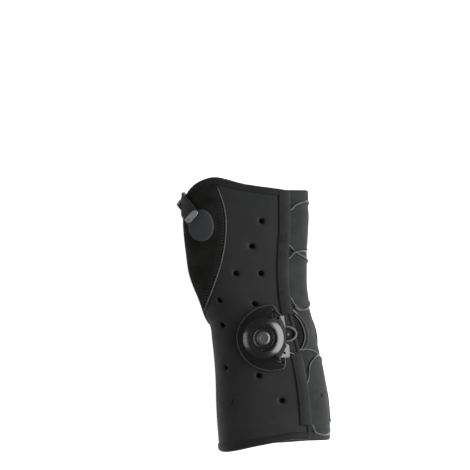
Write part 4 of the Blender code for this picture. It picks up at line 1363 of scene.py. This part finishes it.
EYELET = np.array([0.453 * BREADTH, -0.296 * LENGTH])
eyelet_angle = angle_at(*EYELET, TONGUE_SKIN)
eyelet_profile = MM * np.array(
    [(0.01, 0.30), (0.85, 0.30), (0.95, 0.55), (1.25, 0.62), (1.5, 0.50), (1.6, 0.1), (0.01, 0.0)]
)
eyelet_seat = skin(eyelet_angle, EYELET[1], TONGUE_SKIN)
eyelet = turned("tongue_eyelet", eyelet_profile, eyelet_seat, out_of_arm(eyelet_seat), 32)
dress(eyelet, HEM)

# %% [markdown]
# The hook tab is an egg-shaped plate on the pile, and the thumb strap is welded to it. The strap is elastic
# webbing with ribs across it. Its lanes run straight over the tab and the pile, turn down past the thumb's
# side, and go back along the palm.

# %% Hook tab and thumb strap
TAB_CENTRE = np.array([-0.344 * BREADTH, 0.325 * LENGTH])
TAB_HALF = np.array([8.0, 10.7]) * MM
TAB_WALL = 1.2 * MM
STRAP_WIDTH = 10.4 * MM
STRAP_WALL = 1.6 * MM
STRAP_HEADING = math.radians(129.0)
STRAP_REACH = 16.4 * MM  # from its welded end to where it starts to turn under
STRAP_SWING = 8.0 * MM
STRAP_LAND = 16.0 * MM
STRAP_LEAVES = math.radians(66)
STRAP_START = TAB_CENTRE + np.array([-0.37, 0.35]) * TAB_HALF
TAB_FLOOR = 1.15 * MM
RIB_SLANT = -0.22  # how far a rib slips along the strap for each unit across it


def tab_plate():
    """Rings from the middle out, over the rounded rim and back underneath."""
    theta = np.linspace(0, 2 * math.pi, 72, endpoint=False)[None, :]
    rings = np.array([0.02, 0.3, 0.55, 0.75, 0.88, 0.94, 0.975, 0.995, 1.0, 0.99, 0.95, 0.6, 0.02])[:, None]
    lift = np.array([1.0, 1.0, 1.0, 1.0, 0.99, 0.94, 0.82, 0.62, 0.4, 0.15, 0.0, 0.0, 0.0])[:, None]
    egg = 1 - 0.06 * np.sin(theta)
    x = TAB_CENTRE[0] + TAB_HALF[0] * rings * np.cos(theta) * egg
    y = TAB_CENTRE[1] + TAB_HALF[1] * rings * np.sin(theta)
    return skin(angle_at(x, y), y, TAB_FLOOR + TAB_WALL * lift)


tab = grid_piece("hook_tab_plate", tab_plate(), ring_columns=True, size=(0.02, 0.06))
dress(tab, TAB, replaces=["hook_tab"])


def strap_lines(aside, proud):
    """Centre surface of the strap for an array of offsets from its middle: over, round and under. Seen from
    above every line is straight. Past the hand's edge a leg leaves the skin and drops by a share of how far
    it is outside it, and the turn is a cubic between the two legs with slopes of STRAP_SWING."""
    heading = np.array([math.cos(STRAP_HEADING), math.sin(STRAP_HEADING)])
    left = np.array([-heading[1], heading[0]])
    start = STRAP_START + left * aside[:, None]
    leave = (STRAP_REACH - 0.30 * aside)[:, None]

    def leg(flat, underneath, lift, drop):
        angle = np.minimum(angle_at(flat[..., 0], flat[..., 1]), STRAP_LEAVES)
        laid = skin(math.pi - angle if underneath else angle, flat[..., 1], lift)
        outside = np.maximum(laid[..., 0] - flat[..., 0], 0)
        return np.stack(
            [np.minimum(laid[..., 0], flat[..., 0]), flat[..., 1], laid[..., 2] - drop * outside], -1
        )

    t = np.linspace(0, 1, 60)[:, None, None]
    over = leg(start + heading * leave * t, False, proud, 0.4)
    under = leg(start + heading * (leave - STRAP_LAND * t), True, 0.3 * MM + STRAP_WALL / 2, -0.4)

    def unit(step):
        return step / np.linalg.norm(step, axis=-1, keepdims=True)

    s = np.linspace(0, 1, 90)[1:-1, None, None]
    turn = (
        2 * s**3 - 3 * s**2 + 1
    ) * over[-1] + (s**3 - 2 * s**2 + s) * unit(over[-1] - over[-2]) * STRAP_SWING
    turn = turn + (3 * s**2 - 2 * s**3) * under[0] + (s**3 - s**2) * unit(under[1] - under[0]) * STRAP_SWING
    return np.concatenate([over, turn, under])


def strap_grid():
    """Ribs across the webbing as far as the turn: its half thickness grows by the absolute sine of the run."""
    lanes = np.linspace(-0.5, 0.5, 22) * STRAP_WIDTH
    middle = strap_lines(lanes, TAB_FLOOR + TAB_WALL + STRAP_WALL / 2)
    along = np.gradient(middle, axis=0)
    across = np.gradient(middle, axis=1)
    normal = np.cross(along, across)
    normal /= np.linalg.norm(normal, axis=-1, keepdims=True)
    run = path_length(middle[:, 11])[:, None] + RIB_SLANT * lanes[None, :]
    ribs = np.abs(np.sin(run / (1.75 * MM) * math.pi)) ** 0.6
    edge = np.clip((STRAP_WIDTH / 2 - np.abs(lanes)) / (0.9 * MM), 0, 1)[None, :]
    flat = np.clip((run - STRAP_REACH + 4.5 * MM) / (1.5 * MM), 0, 1)
    half = STRAP_WALL / 2 * (0.30 + 0.70 * np.sqrt(1 - (1 - edge) ** 2))
    depth = (1 - flat) * np.clip((STRAP_WIDTH / 2 - np.abs(lanes)) / (1.8 * MM), 0, 1)[None, :]
    half = half * (0.80 * (1 - depth) + depth * (0.40 + 0.60 * ribs))
    above = middle + normal * half[..., None]
    below = middle - normal * half[..., None]
    return np.concatenate([above, below[:, ::-1]], axis=1)


strap = grid_piece("thumb_webbing", strap_grid(), ring_columns=True, size=(0.075, 0.024))
dress(strap, ELASTIC, replaces=["thumb_strap"])


def weld_bar():
    """The strap's welded end: a bar with a raised rim and a shallow middle, lying across the webbing."""
    left = np.array([math.cos(math.radians(50.5)), math.sin(math.radians(50.5))])
    heading = np.array([-left[1], left[0]])
    theta = np.linspace(0, 2 * math.pi, 64, endpoint=False)[None, :]
    rings = np.array([0.02, 0.35, 0.55, 0.66, 0.78, 0.90, 0.97, 1.0, 1.0, 0.98, 0.5, 0.02])[:, None]
    lift = np.array([0.55, 0.55, 0.60, 0.82, 0.95, 0.90, 0.62, 0.30, 0.0, -0.6, -0.8, -0.8])[:, None] * MM
    long = np.sign(np.cos(theta)) * np.abs(np.cos(theta)) ** 0.42 * 4.6 * MM
    short = np.sign(np.sin(theta)) * np.abs(np.sin(theta)) ** 0.55 * 1.9 * MM
    centre = np.array([-0.389 * BREADTH, 0.3575 * LENGTH])
    x = centre[0] + rings * (left[0] * long + heading[0] * short)
    y = centre[1] + rings * (left[1] * long + heading[1] * short)
    return skin(angle_at(x, y), y, TAB_FLOOR + TAB_WALL + 1.15 * MM + lift)


# The bar's light grey finish is a painted highlight.
weld = grid_piece("strap_weld", weld_bar(), ring_columns=True, size=(0.012, 0.03))
dress(weld, WELD)
print("strap and tab ready")

# %% [markdown]
# The dial's base is a thin flange that follows the back of the wrap, cut off towards the little finger so that
# it ends in two wings. A raised bead runs round it. The lug block beside the cup guides the lace in. The cup
# is a turned profile, and round holes are cut where the lace goes in.

# %% Dial base
DIAL = np.array([0.057 * BREADTH, -0.0843 * LENGTH])
KNOB = 13.5 * MM
FLANGE_RADIUS = KNOB + 8.5 * MM
FLANGE_SHIFT = 0.385 * KNOB
FLANGE_WALL = 1.7 * MM
LUG_HEIGHT = 4.8 * MM
FLANGE_CUT = np.array(
    [
        # degrees, share of FLANGE_RADIUS
        (-67.0, 1.00),
        (-55.0, 0.72),
        (-32.0, 0.46),
        (-9.0, 0.40),
        (22.0, 0.41),
        (58.0, 0.66),
        (77.0, 0.80),
        (88.0, 1.00),
    ]
)
LUG_OUTLINE = np.array(
    [
        # along, inner, outer, in shares of KNOB from the dial's axis
        (-0.960, 0.78, 1.18),
        (-0.900, 0.60, 1.23),
        (-0.350, 0.60, 1.14),
        (-0.275, 0.60, 1.00),
        (0.570, 0.60, 0.95),
        (0.940, 0.30, 0.90),
        (1.090, 0.74, 0.88),
    ]
)
dial_floor = float(skin(angle_at(*DIAL), DIAL[1])[2])
dial_centre = np.array([DIAL[0], DIAL[1], dial_floor])


def flange_outline():
    """Offsets of the outline from its centre, once round: a circle, cut off on the lace's side."""
    degrees = np.linspace(-67.0, 293.0, 240, endpoint=False)
    knots = np.concatenate([FLANGE_CUT[:, 0], [293.0]])
    shares = np.concatenate([FLANGE_CUT[:, 1], [1.0]])
    outline = FLANGE_RADIUS * np.interp(degrees, knots, shares)
    turn = np.radians(degrees)
    return softened(outline * np.cos(turn), 1), softened(outline * np.sin(turn), 1)


def flange_grid():
    """Rings of the flange from its middle to its edge and back underneath, each a share of the outline less a
    distance."""
    outline_x, outline_y = (values[None, :] for values in flange_outline())
    size = np.hypot(outline_x, outline_y)
    section_of = [
        # share of the way out, distance back in, height
        (0.00, -0.05, 1.5),
        (0.45, 0.00, 1.45),
        (1.00, 1.90, 1.35),
        (1.00, 1.30, 1.30),
        (1.00, 0.95, 1.35),
        (1.00, 0.50, 1.40),
        (1.00, 0.15, 1.25),
        (1.00, 0.02, 1.00),
        (1.00, 0.00, 0.70),
        (1.00, 0.05, 0.30),
        (1.00, 0.40, 0.02),
        (0.45, 0.00, 0.05),
        (0.00, -0.05, 0.05),
    ]
    share, inset, height = (np.array([row[k] for row in section_of])[:, None] for k in range(3))
    reach = np.maximum(share * size - inset * MM, 0.05 * MM)
    x = DIAL[0] + FLANGE_SHIFT + reach * outline_x / size
    y = DIAL[1] + reach * outline_y / size
    return skin(angle_at(x, y), y, height * MM)


def flange_rim():
    """A thin moulded bead that runs round the flange's upper edge; its light grey is a painted highlight line.
    """
    outline_x, outline_y = flange_outline()
    size = np.hypot(outline_x, outline_y)
    shrink = 1 - 0.35 * MM / size
    x, y = DIAL[0] + FLANGE_SHIFT + outline_x * shrink, DIAL[1] + outline_y * shrink
    path = skin(angle_at(x, y), y, 1.45 * MM)
    return grid_piece("flange_rim", tube_grid(path, 0.42 * MM, 12, True), ring_rows=True, ring_columns=True)


def cylinder(name, centre, radius, depth, sides=24):
    """A plain upright cylinder that only cuts."""
    profile = [(0.01 * MM, depth / 2), (radius, depth / 2), (radius, -depth / 2), (0.01 * MM, -depth / 2)]
    return turned(name, profile, centre, sides=sides)


def apply_modifiers(thing, cutters=()):
    """Keeps what the modifiers make as the piece's own mesh, then drops the cutters."""
    made = bpy.data.meshes.new_from_object(thing.evaluated_get(bpy.context.evaluated_depsgraph_get()))
    thing.modifiers.clear()
    thing.data = made
    for cutter in cutters:
        bpy.data.objects.remove(cutter)


def drilled(thing, spots, radius):
    """Cuts round upright holes at places given as x and y."""
    cutters = []
    for number, (x, y) in enumerate(spots):
        centre = skin(angle_at(x, y), y, 3.5 * MM)
        cutters.append(cylinder(f"{thing.name}_hole_{number}", centre, radius, 12 * MM))
        cut = thing.modifiers.new("hole", "BOOLEAN")
        cut.operation = "DIFFERENCE"
        cut.object = cutters[-1]
        cut.solver = "EXACT"
    apply_modifiers(thing, cutters)
    return thing


flange = grid_piece("dial_flange", flange_grid(), ring_columns=True, size=(0.05, 0.138))
drilled(flange, [(11.9 * MM, 2.3 * MM), (17.8 * MM, -31.7 * MM)], 0.75 * MM)
dress(flange, SATIN, replaces=["dial_base"])
dress(flange_rim(), RIM_PAINTED_HIGHLIGHT)


def knob_bottom():
    return 0.3 * MM + FLANGE_WALL / 2 + LUG_HEIGHT + 0.7 * MM


LUG_SLOPES = [
    (-0.96, 0.44), (-0.91, 0.42), (-0.30, 0.06), (-0.27, 0.0), (0.50, 0.0), (0.94, 0.14), (1.09, 0.17)
]


def lug_block():
    """A slab between the block's inner and outer lines, laid on the flange. A band along its outer side, whose
    width changes along it, falls away at a steady slope."""
    share = np.linspace(0, 1, 34) ** 0.8
    along = np.linspace(LUG_OUTLINE[0, 0], LUG_OUTLINE[-1, 0], 90)
    inner = np.interp(along, LUG_OUTLINE[:, 0], LUG_OUTLINE[:, 1])[:, None]
    outer = softened(np.interp(along, LUG_OUTLINE[:, 0], LUG_OUTLINE[:, 2]), 1, closed=False)[:, None]
    band = np.interp(along, *np.array(LUG_SLOPES).T)[:, None]
    out = inner + (outer - inner) * share
    x = DIAL[0] + out * KNOB
    y = DIAL[1] + along[:, None] * KNOB + 0 * x
    slope = 0.46 * KNOB * np.maximum(out - (outer - band), 0)
    upper = skin(angle_at(x, y), y, 0.3 * MM + FLANGE_WALL / 2 + LUG_HEIGHT - slope)
    lower = skin(angle_at(x, y), y, 0.9 * MM)
    grid = np.concatenate([upper, lower[:, ::-1]], axis=1)
    return grid_piece("lug_block", grid, ring_columns=True, size=(0.028, 0.03))


lug_spots = [DIAL + KNOB * np.array(place) for place in [(0.655, 0.965), (0.985, -0.735)]]
block = drilled(lug_block(), lug_spots, 0.85 * MM)
block.data.set_sharp_from_angle(angle=math.radians(40))
bevel = block.modifiers.new("edge", "BEVEL")
bevel.width = 0.35 * MM
bevel.segments = 2
bevel.limit_method = "ANGLE"
bevel.angle_limit = math.radians(40)
dress(block, BRIGHT)

CUP = KNOB - 1.4 * MM
cup_top = knob_bottom() + 2.3 * MM
cup_profile = [
    (0.01 * MM, cup_top - 1.2 * MM),
    (CUP - 1.3 * MM, cup_top - 1.2 * MM),
    (CUP - 1.3 * MM, cup_top),
    (CUP, cup_top),
    (CUP, 3.0 * MM),
    (CUP + 0.9 * MM, 2.3 * MM),
    (CUP + 1.0 * MM, 1.0 * MM),
    (0.01 * MM, 1.0 * MM),
]
cup = turned("dial_cup", rounded(cup_profile, 0.4 * MM), dial_centre)
dress(cup, SATIN)
print("dial floor at", round(dial_floor / MM, 1), "mm")

# %% [markdown]
# A D-shaped bar stands out of the lug block over the channel's edge, and a riveted stud sits inside it. On the
# real dial the bar is moulded and the stud is metal. The bar is half a ring as a tube, and the stud a turned
# profile that stands square to the wrap.

# %% Side loop and rivet
LOOP_RADIUS = 1.0 * MM
loop_root = FLANGE_SHIFT + FLANGE_CUT[:, 1].min() * FLANGE_RADIUS - 0.8 * MM


def side_loop():
    """Half a ring drawn out sideways, its ends at the lug block."""
    turn = np.radians(np.linspace(-90.0, 90.0, 60))
    x = DIAL[0] + loop_root + (0.51 * KNOB + 0.8 * MM) * np.cos(turn) ** 0.9
    y = DIAL[1] + (0.19 + 0.36 * np.sin(turn)) * KNOB
    return skin(angle_at(x, y), y, 0.3 * MM + LOOP_RADIUS)


# The bar's rim grey is painted sheen: it stands for the light that the black loop catches all over.
dress(
    tube("side_loop_bar", side_loop(), LOOP_RADIUS, 16), RIM_PAINTED_HIGHLIGHT, replaces=["side_loop"]
)

rivet_x = DIAL[0] + loop_root + 0.8 * MM + 0.17 * KNOB
rivet_y = DIAL[1] + 0.17 * KNOB
rivet_angle = angle_at(rivet_x, rivet_y)
rivet_seat = skin(rivet_angle, rivet_y)
rivet_profile = 0.72 * MM * np.array(
    [
        (0.01, 1.25), (0.5, 1.22), (0.8, 1.02), (1.0, 1.05), (1.35, 0.85), (1.6, 0.35), (1.65, -0.3),
        (0.01, -0.3)
    ]
)
rivet = turned("loop_rivet_head", rivet_profile, rivet_seat, out_of_arm(rivet_seat), 40)
dress(rivet, RIVET, replaces=["loop_rivet"])
print("loop reaches", round(float(side_loop()[:, 0].max()) / MM, 1), "mm")

# %% [markdown]
# The knob is a glossy rounded ring round a sunk face. It rides on its own body, because it turns and pulls up.
# Its hub is bare: a low dome with a shallow ring. Two small marks stand at the edge of the sunk face.

# %% Knob, hub and spool
KNOB_HEIGHT = 6.6 * MM
RECESS = 9.4 * MM
RECESS_DEPTH = 2.2 * MM
knob_low = knob_bottom()
knob_top = knob_low + KNOB_HEIGHT
face = knob_top - RECESS_DEPTH
crown = np.linspace(0, 1, 20)
crown_profile = np.concatenate(
    [
        [
            (RECESS - 0.65 * MM, face), (RECESS - 0.60 * MM, knob_top - 0.30 * MM),
            (RECESS - 0.45 * MM, knob_top)
        ],
        np.stack(
            [
                RECESS - 0.2 * MM + (KNOB - RECESS + 0.2 * MM) * crown,
                knob_top - 1.9 * MM * (0.45 * crown + 0.55 * crown**2)
            ],
            axis=-1,
        ),
    ]
)
knob_profile = np.concatenate(
    [
        rounded(
            [
                (2.7 * MM, face - 0.9 * MM),
                (2.7 * MM, face),
                (6.2 * MM, face),
                (6.35 * MM, face + 0.55 * MM),
                (7.1 * MM, face + 0.55 * MM),
                (7.3 * MM, face),
                (8.3 * MM, face),
            ],
            0.15 * MM,
            3,
        ),
        crown_profile,
        [
            (KNOB, knob_low + 1.2 * MM),
            (KNOB - 0.15 * MM, knob_low + 0.3 * MM),
            (KNOB - 0.5 * MM, knob_low),
            (KNOB - 1.0 * MM, knob_low),
            (KNOB - 1.0 * MM, face - 1.0 * MM),
            (2.7 * MM, face - 1.0 * MM),
        ],
    ]
)
knob = turned("knob_ring", knob_profile, dial_centre, sides=128)
knob.data.set_sharp_from_angle(angle=math.radians(38))
dress(knob, GLOSS, "knob", ["dial_knob"])

cap_base = face + 0.1 * MM
cap_profile = [
    (0.01 * MM, cap_base + 0.95 * MM),
    (1.9 * MM, cap_base + 1.0 * MM),
    (2.4 * MM, cap_base + 1.15 * MM),
    (3.3 * MM, cap_base + 1.15 * MM),
    (4.2 * MM, cap_base + 0.85 * MM),
    (4.65 * MM, cap_base + 0.35 * MM),
    (4.7 * MM, cap_base - 0.2 * MM),
    (0.01 * MM, cap_base - 0.2 * MM),
]
cap = turned("knob_hub", rounded(cap_profile, 0.3 * MM), dial_centre, sides=96)
dress(cap, HUB, "knob", ["dial_cap"])


def tick(name, degrees):
    """A small raised bar at the edge of the sunk face, pointing at the middle."""
    out = np.array([math.cos(math.radians(degrees)), math.sin(math.radians(degrees)), 0.0])
    side = np.array([-out[1], out[0], 0.0])
    reach = np.linspace(7.2, 8.5, 10)[:, None, None] * MM
    section_of = MM * np.array(
        [(-0.28, -0.2), (-0.28, 0.15), (-0.12, 0.32), (0.12, 0.32), (0.28, 0.15), (0.28, -0.2)]
    )
    swell = np.sqrt(1 - np.linspace(-0.95, 0.95, 10) ** 2)[:, None, None]
    grid = dial_centre + out * reach + side * section_of[None, :, :1] * swell
    grid = grid + np.array([0, 0, 1.0]) * (face + section_of[None, :, 1:] * swell)
    return dress(grid_piece(name, grid, ring_columns=True), BRIGHT, "knob")


tick("knob_mark_0", 84.0)
tick("knob_mark_1", 264.0)
spool = nodes["reel_spool"]
spool.data.materials.clear()
spool.data.materials.append(SATIN)
print("knob top at", round((dial_floor + knob_top) / MM, 1), "mm")

# %% [markdown]
# The photograph was taken from straight over the back of the hand. The camera hangs far above with a long
# lens, so that the dial is seen square on. The floor is a light table, white and glowing a little, and large
# soft lights stand on both sides, the stronger on the little finger's side.

# %% Floor, lights and camera
PIXEL = 2 / 3 * MM  # real size of a pixel of the photograph
PHOTO_CENTRE_X, PHOTO_CENTRE_Y = 254.6, 314.4  # the origin's pixel
FRAME_PIXELS = 470
CAMERA_HEIGHT = 4.0
FOCUS_HEIGHT = 0.035

floor_mesh = bpy.data.meshes.new("floor")
FLOOR_HALF = 3.0
floor_corners = [(x * FLOOR_HALF, y * FLOOR_HALF, 0) for x, y in [(-1, -1), (1, -1), (1, 1), (-1, 1)]]
floor_mesh.from_pydata(floor_corners, [], [(0, 1, 2, 3)])
floor = bpy.data.objects.new("floor", floor_mesh)
bpy.context.scene.collection.objects.link(floor)
floor.location.z = -0.05 * MM
floor_material = bpy.data.materials.new("pale floor")
floor_material.use_nodes = True
floor_shader = floor_material.node_tree.nodes["Principled BSDF"]
floor_shader.inputs["Base Color"].default_value = (0.92, 0.92, 0.92, 1.0)
floor_shader.inputs["Roughness"].default_value = 0.9
floor_shader.inputs["Emission Color"].default_value = (1.0, 1.0, 1.0, 1.0)
floor_shader.inputs["Emission Strength"].default_value = 0.85
floor_mesh.materials.append(floor_material)


def soft_light(name, place, aim, size, power):
    data = bpy.data.lights.new(name, "AREA")
    data.shape = "RECTANGLE"
    data.size, data.size_y = size
    data.energy = power
    lamp = bpy.data.objects.new(name, data)
    bpy.context.scene.collection.objects.link(lamp)
    lamp.location = place
    lamp.rotation_euler = (Vector(aim) - Vector(place)).to_track_quat("-Z", "Y").to_euler()


soft_light("key", (1.0, 0.0, 0.78), (0.0, 0.0, 0.03), (2.2, 1.15), 39.0)
soft_light("fill", (-1.1, -0.15, 0.80), (0.0, 0.0, 0.03), (0.9, 0.6), 3.2)

world = bpy.data.worlds.new("studio")
world.use_nodes = True
world.node_tree.nodes["Background"].inputs["Color"].default_value = (1.0, 1.0, 1.0, 1.0)
world.node_tree.nodes["Background"].inputs["Strength"].default_value = 0.12
bpy.context.scene.world = world
bpy.context.scene.view_settings.view_transform = "Standard"

camera_data = bpy.data.cameras.new("camera")
camera = bpy.data.objects.new("camera", camera_data)
bpy.context.scene.collection.objects.link(camera)
camera.location = (
    (FRAME_PIXELS / 2 - PHOTO_CENTRE_X) * PIXEL,
    (PHOTO_CENTRE_Y - FRAME_PIXELS / 2) * PIXEL,
    CAMERA_HEIGHT + FOCUS_HEIGHT,
)
camera_data.sensor_width = 36.0
camera_data.lens = 36.0 * CAMERA_HEIGHT / (FRAME_PIXELS * PIXEL)
camera_data.clip_end = 20.0
bpy.context.scene.camera = camera
print("lens:", round(camera_data.lens), "mm")
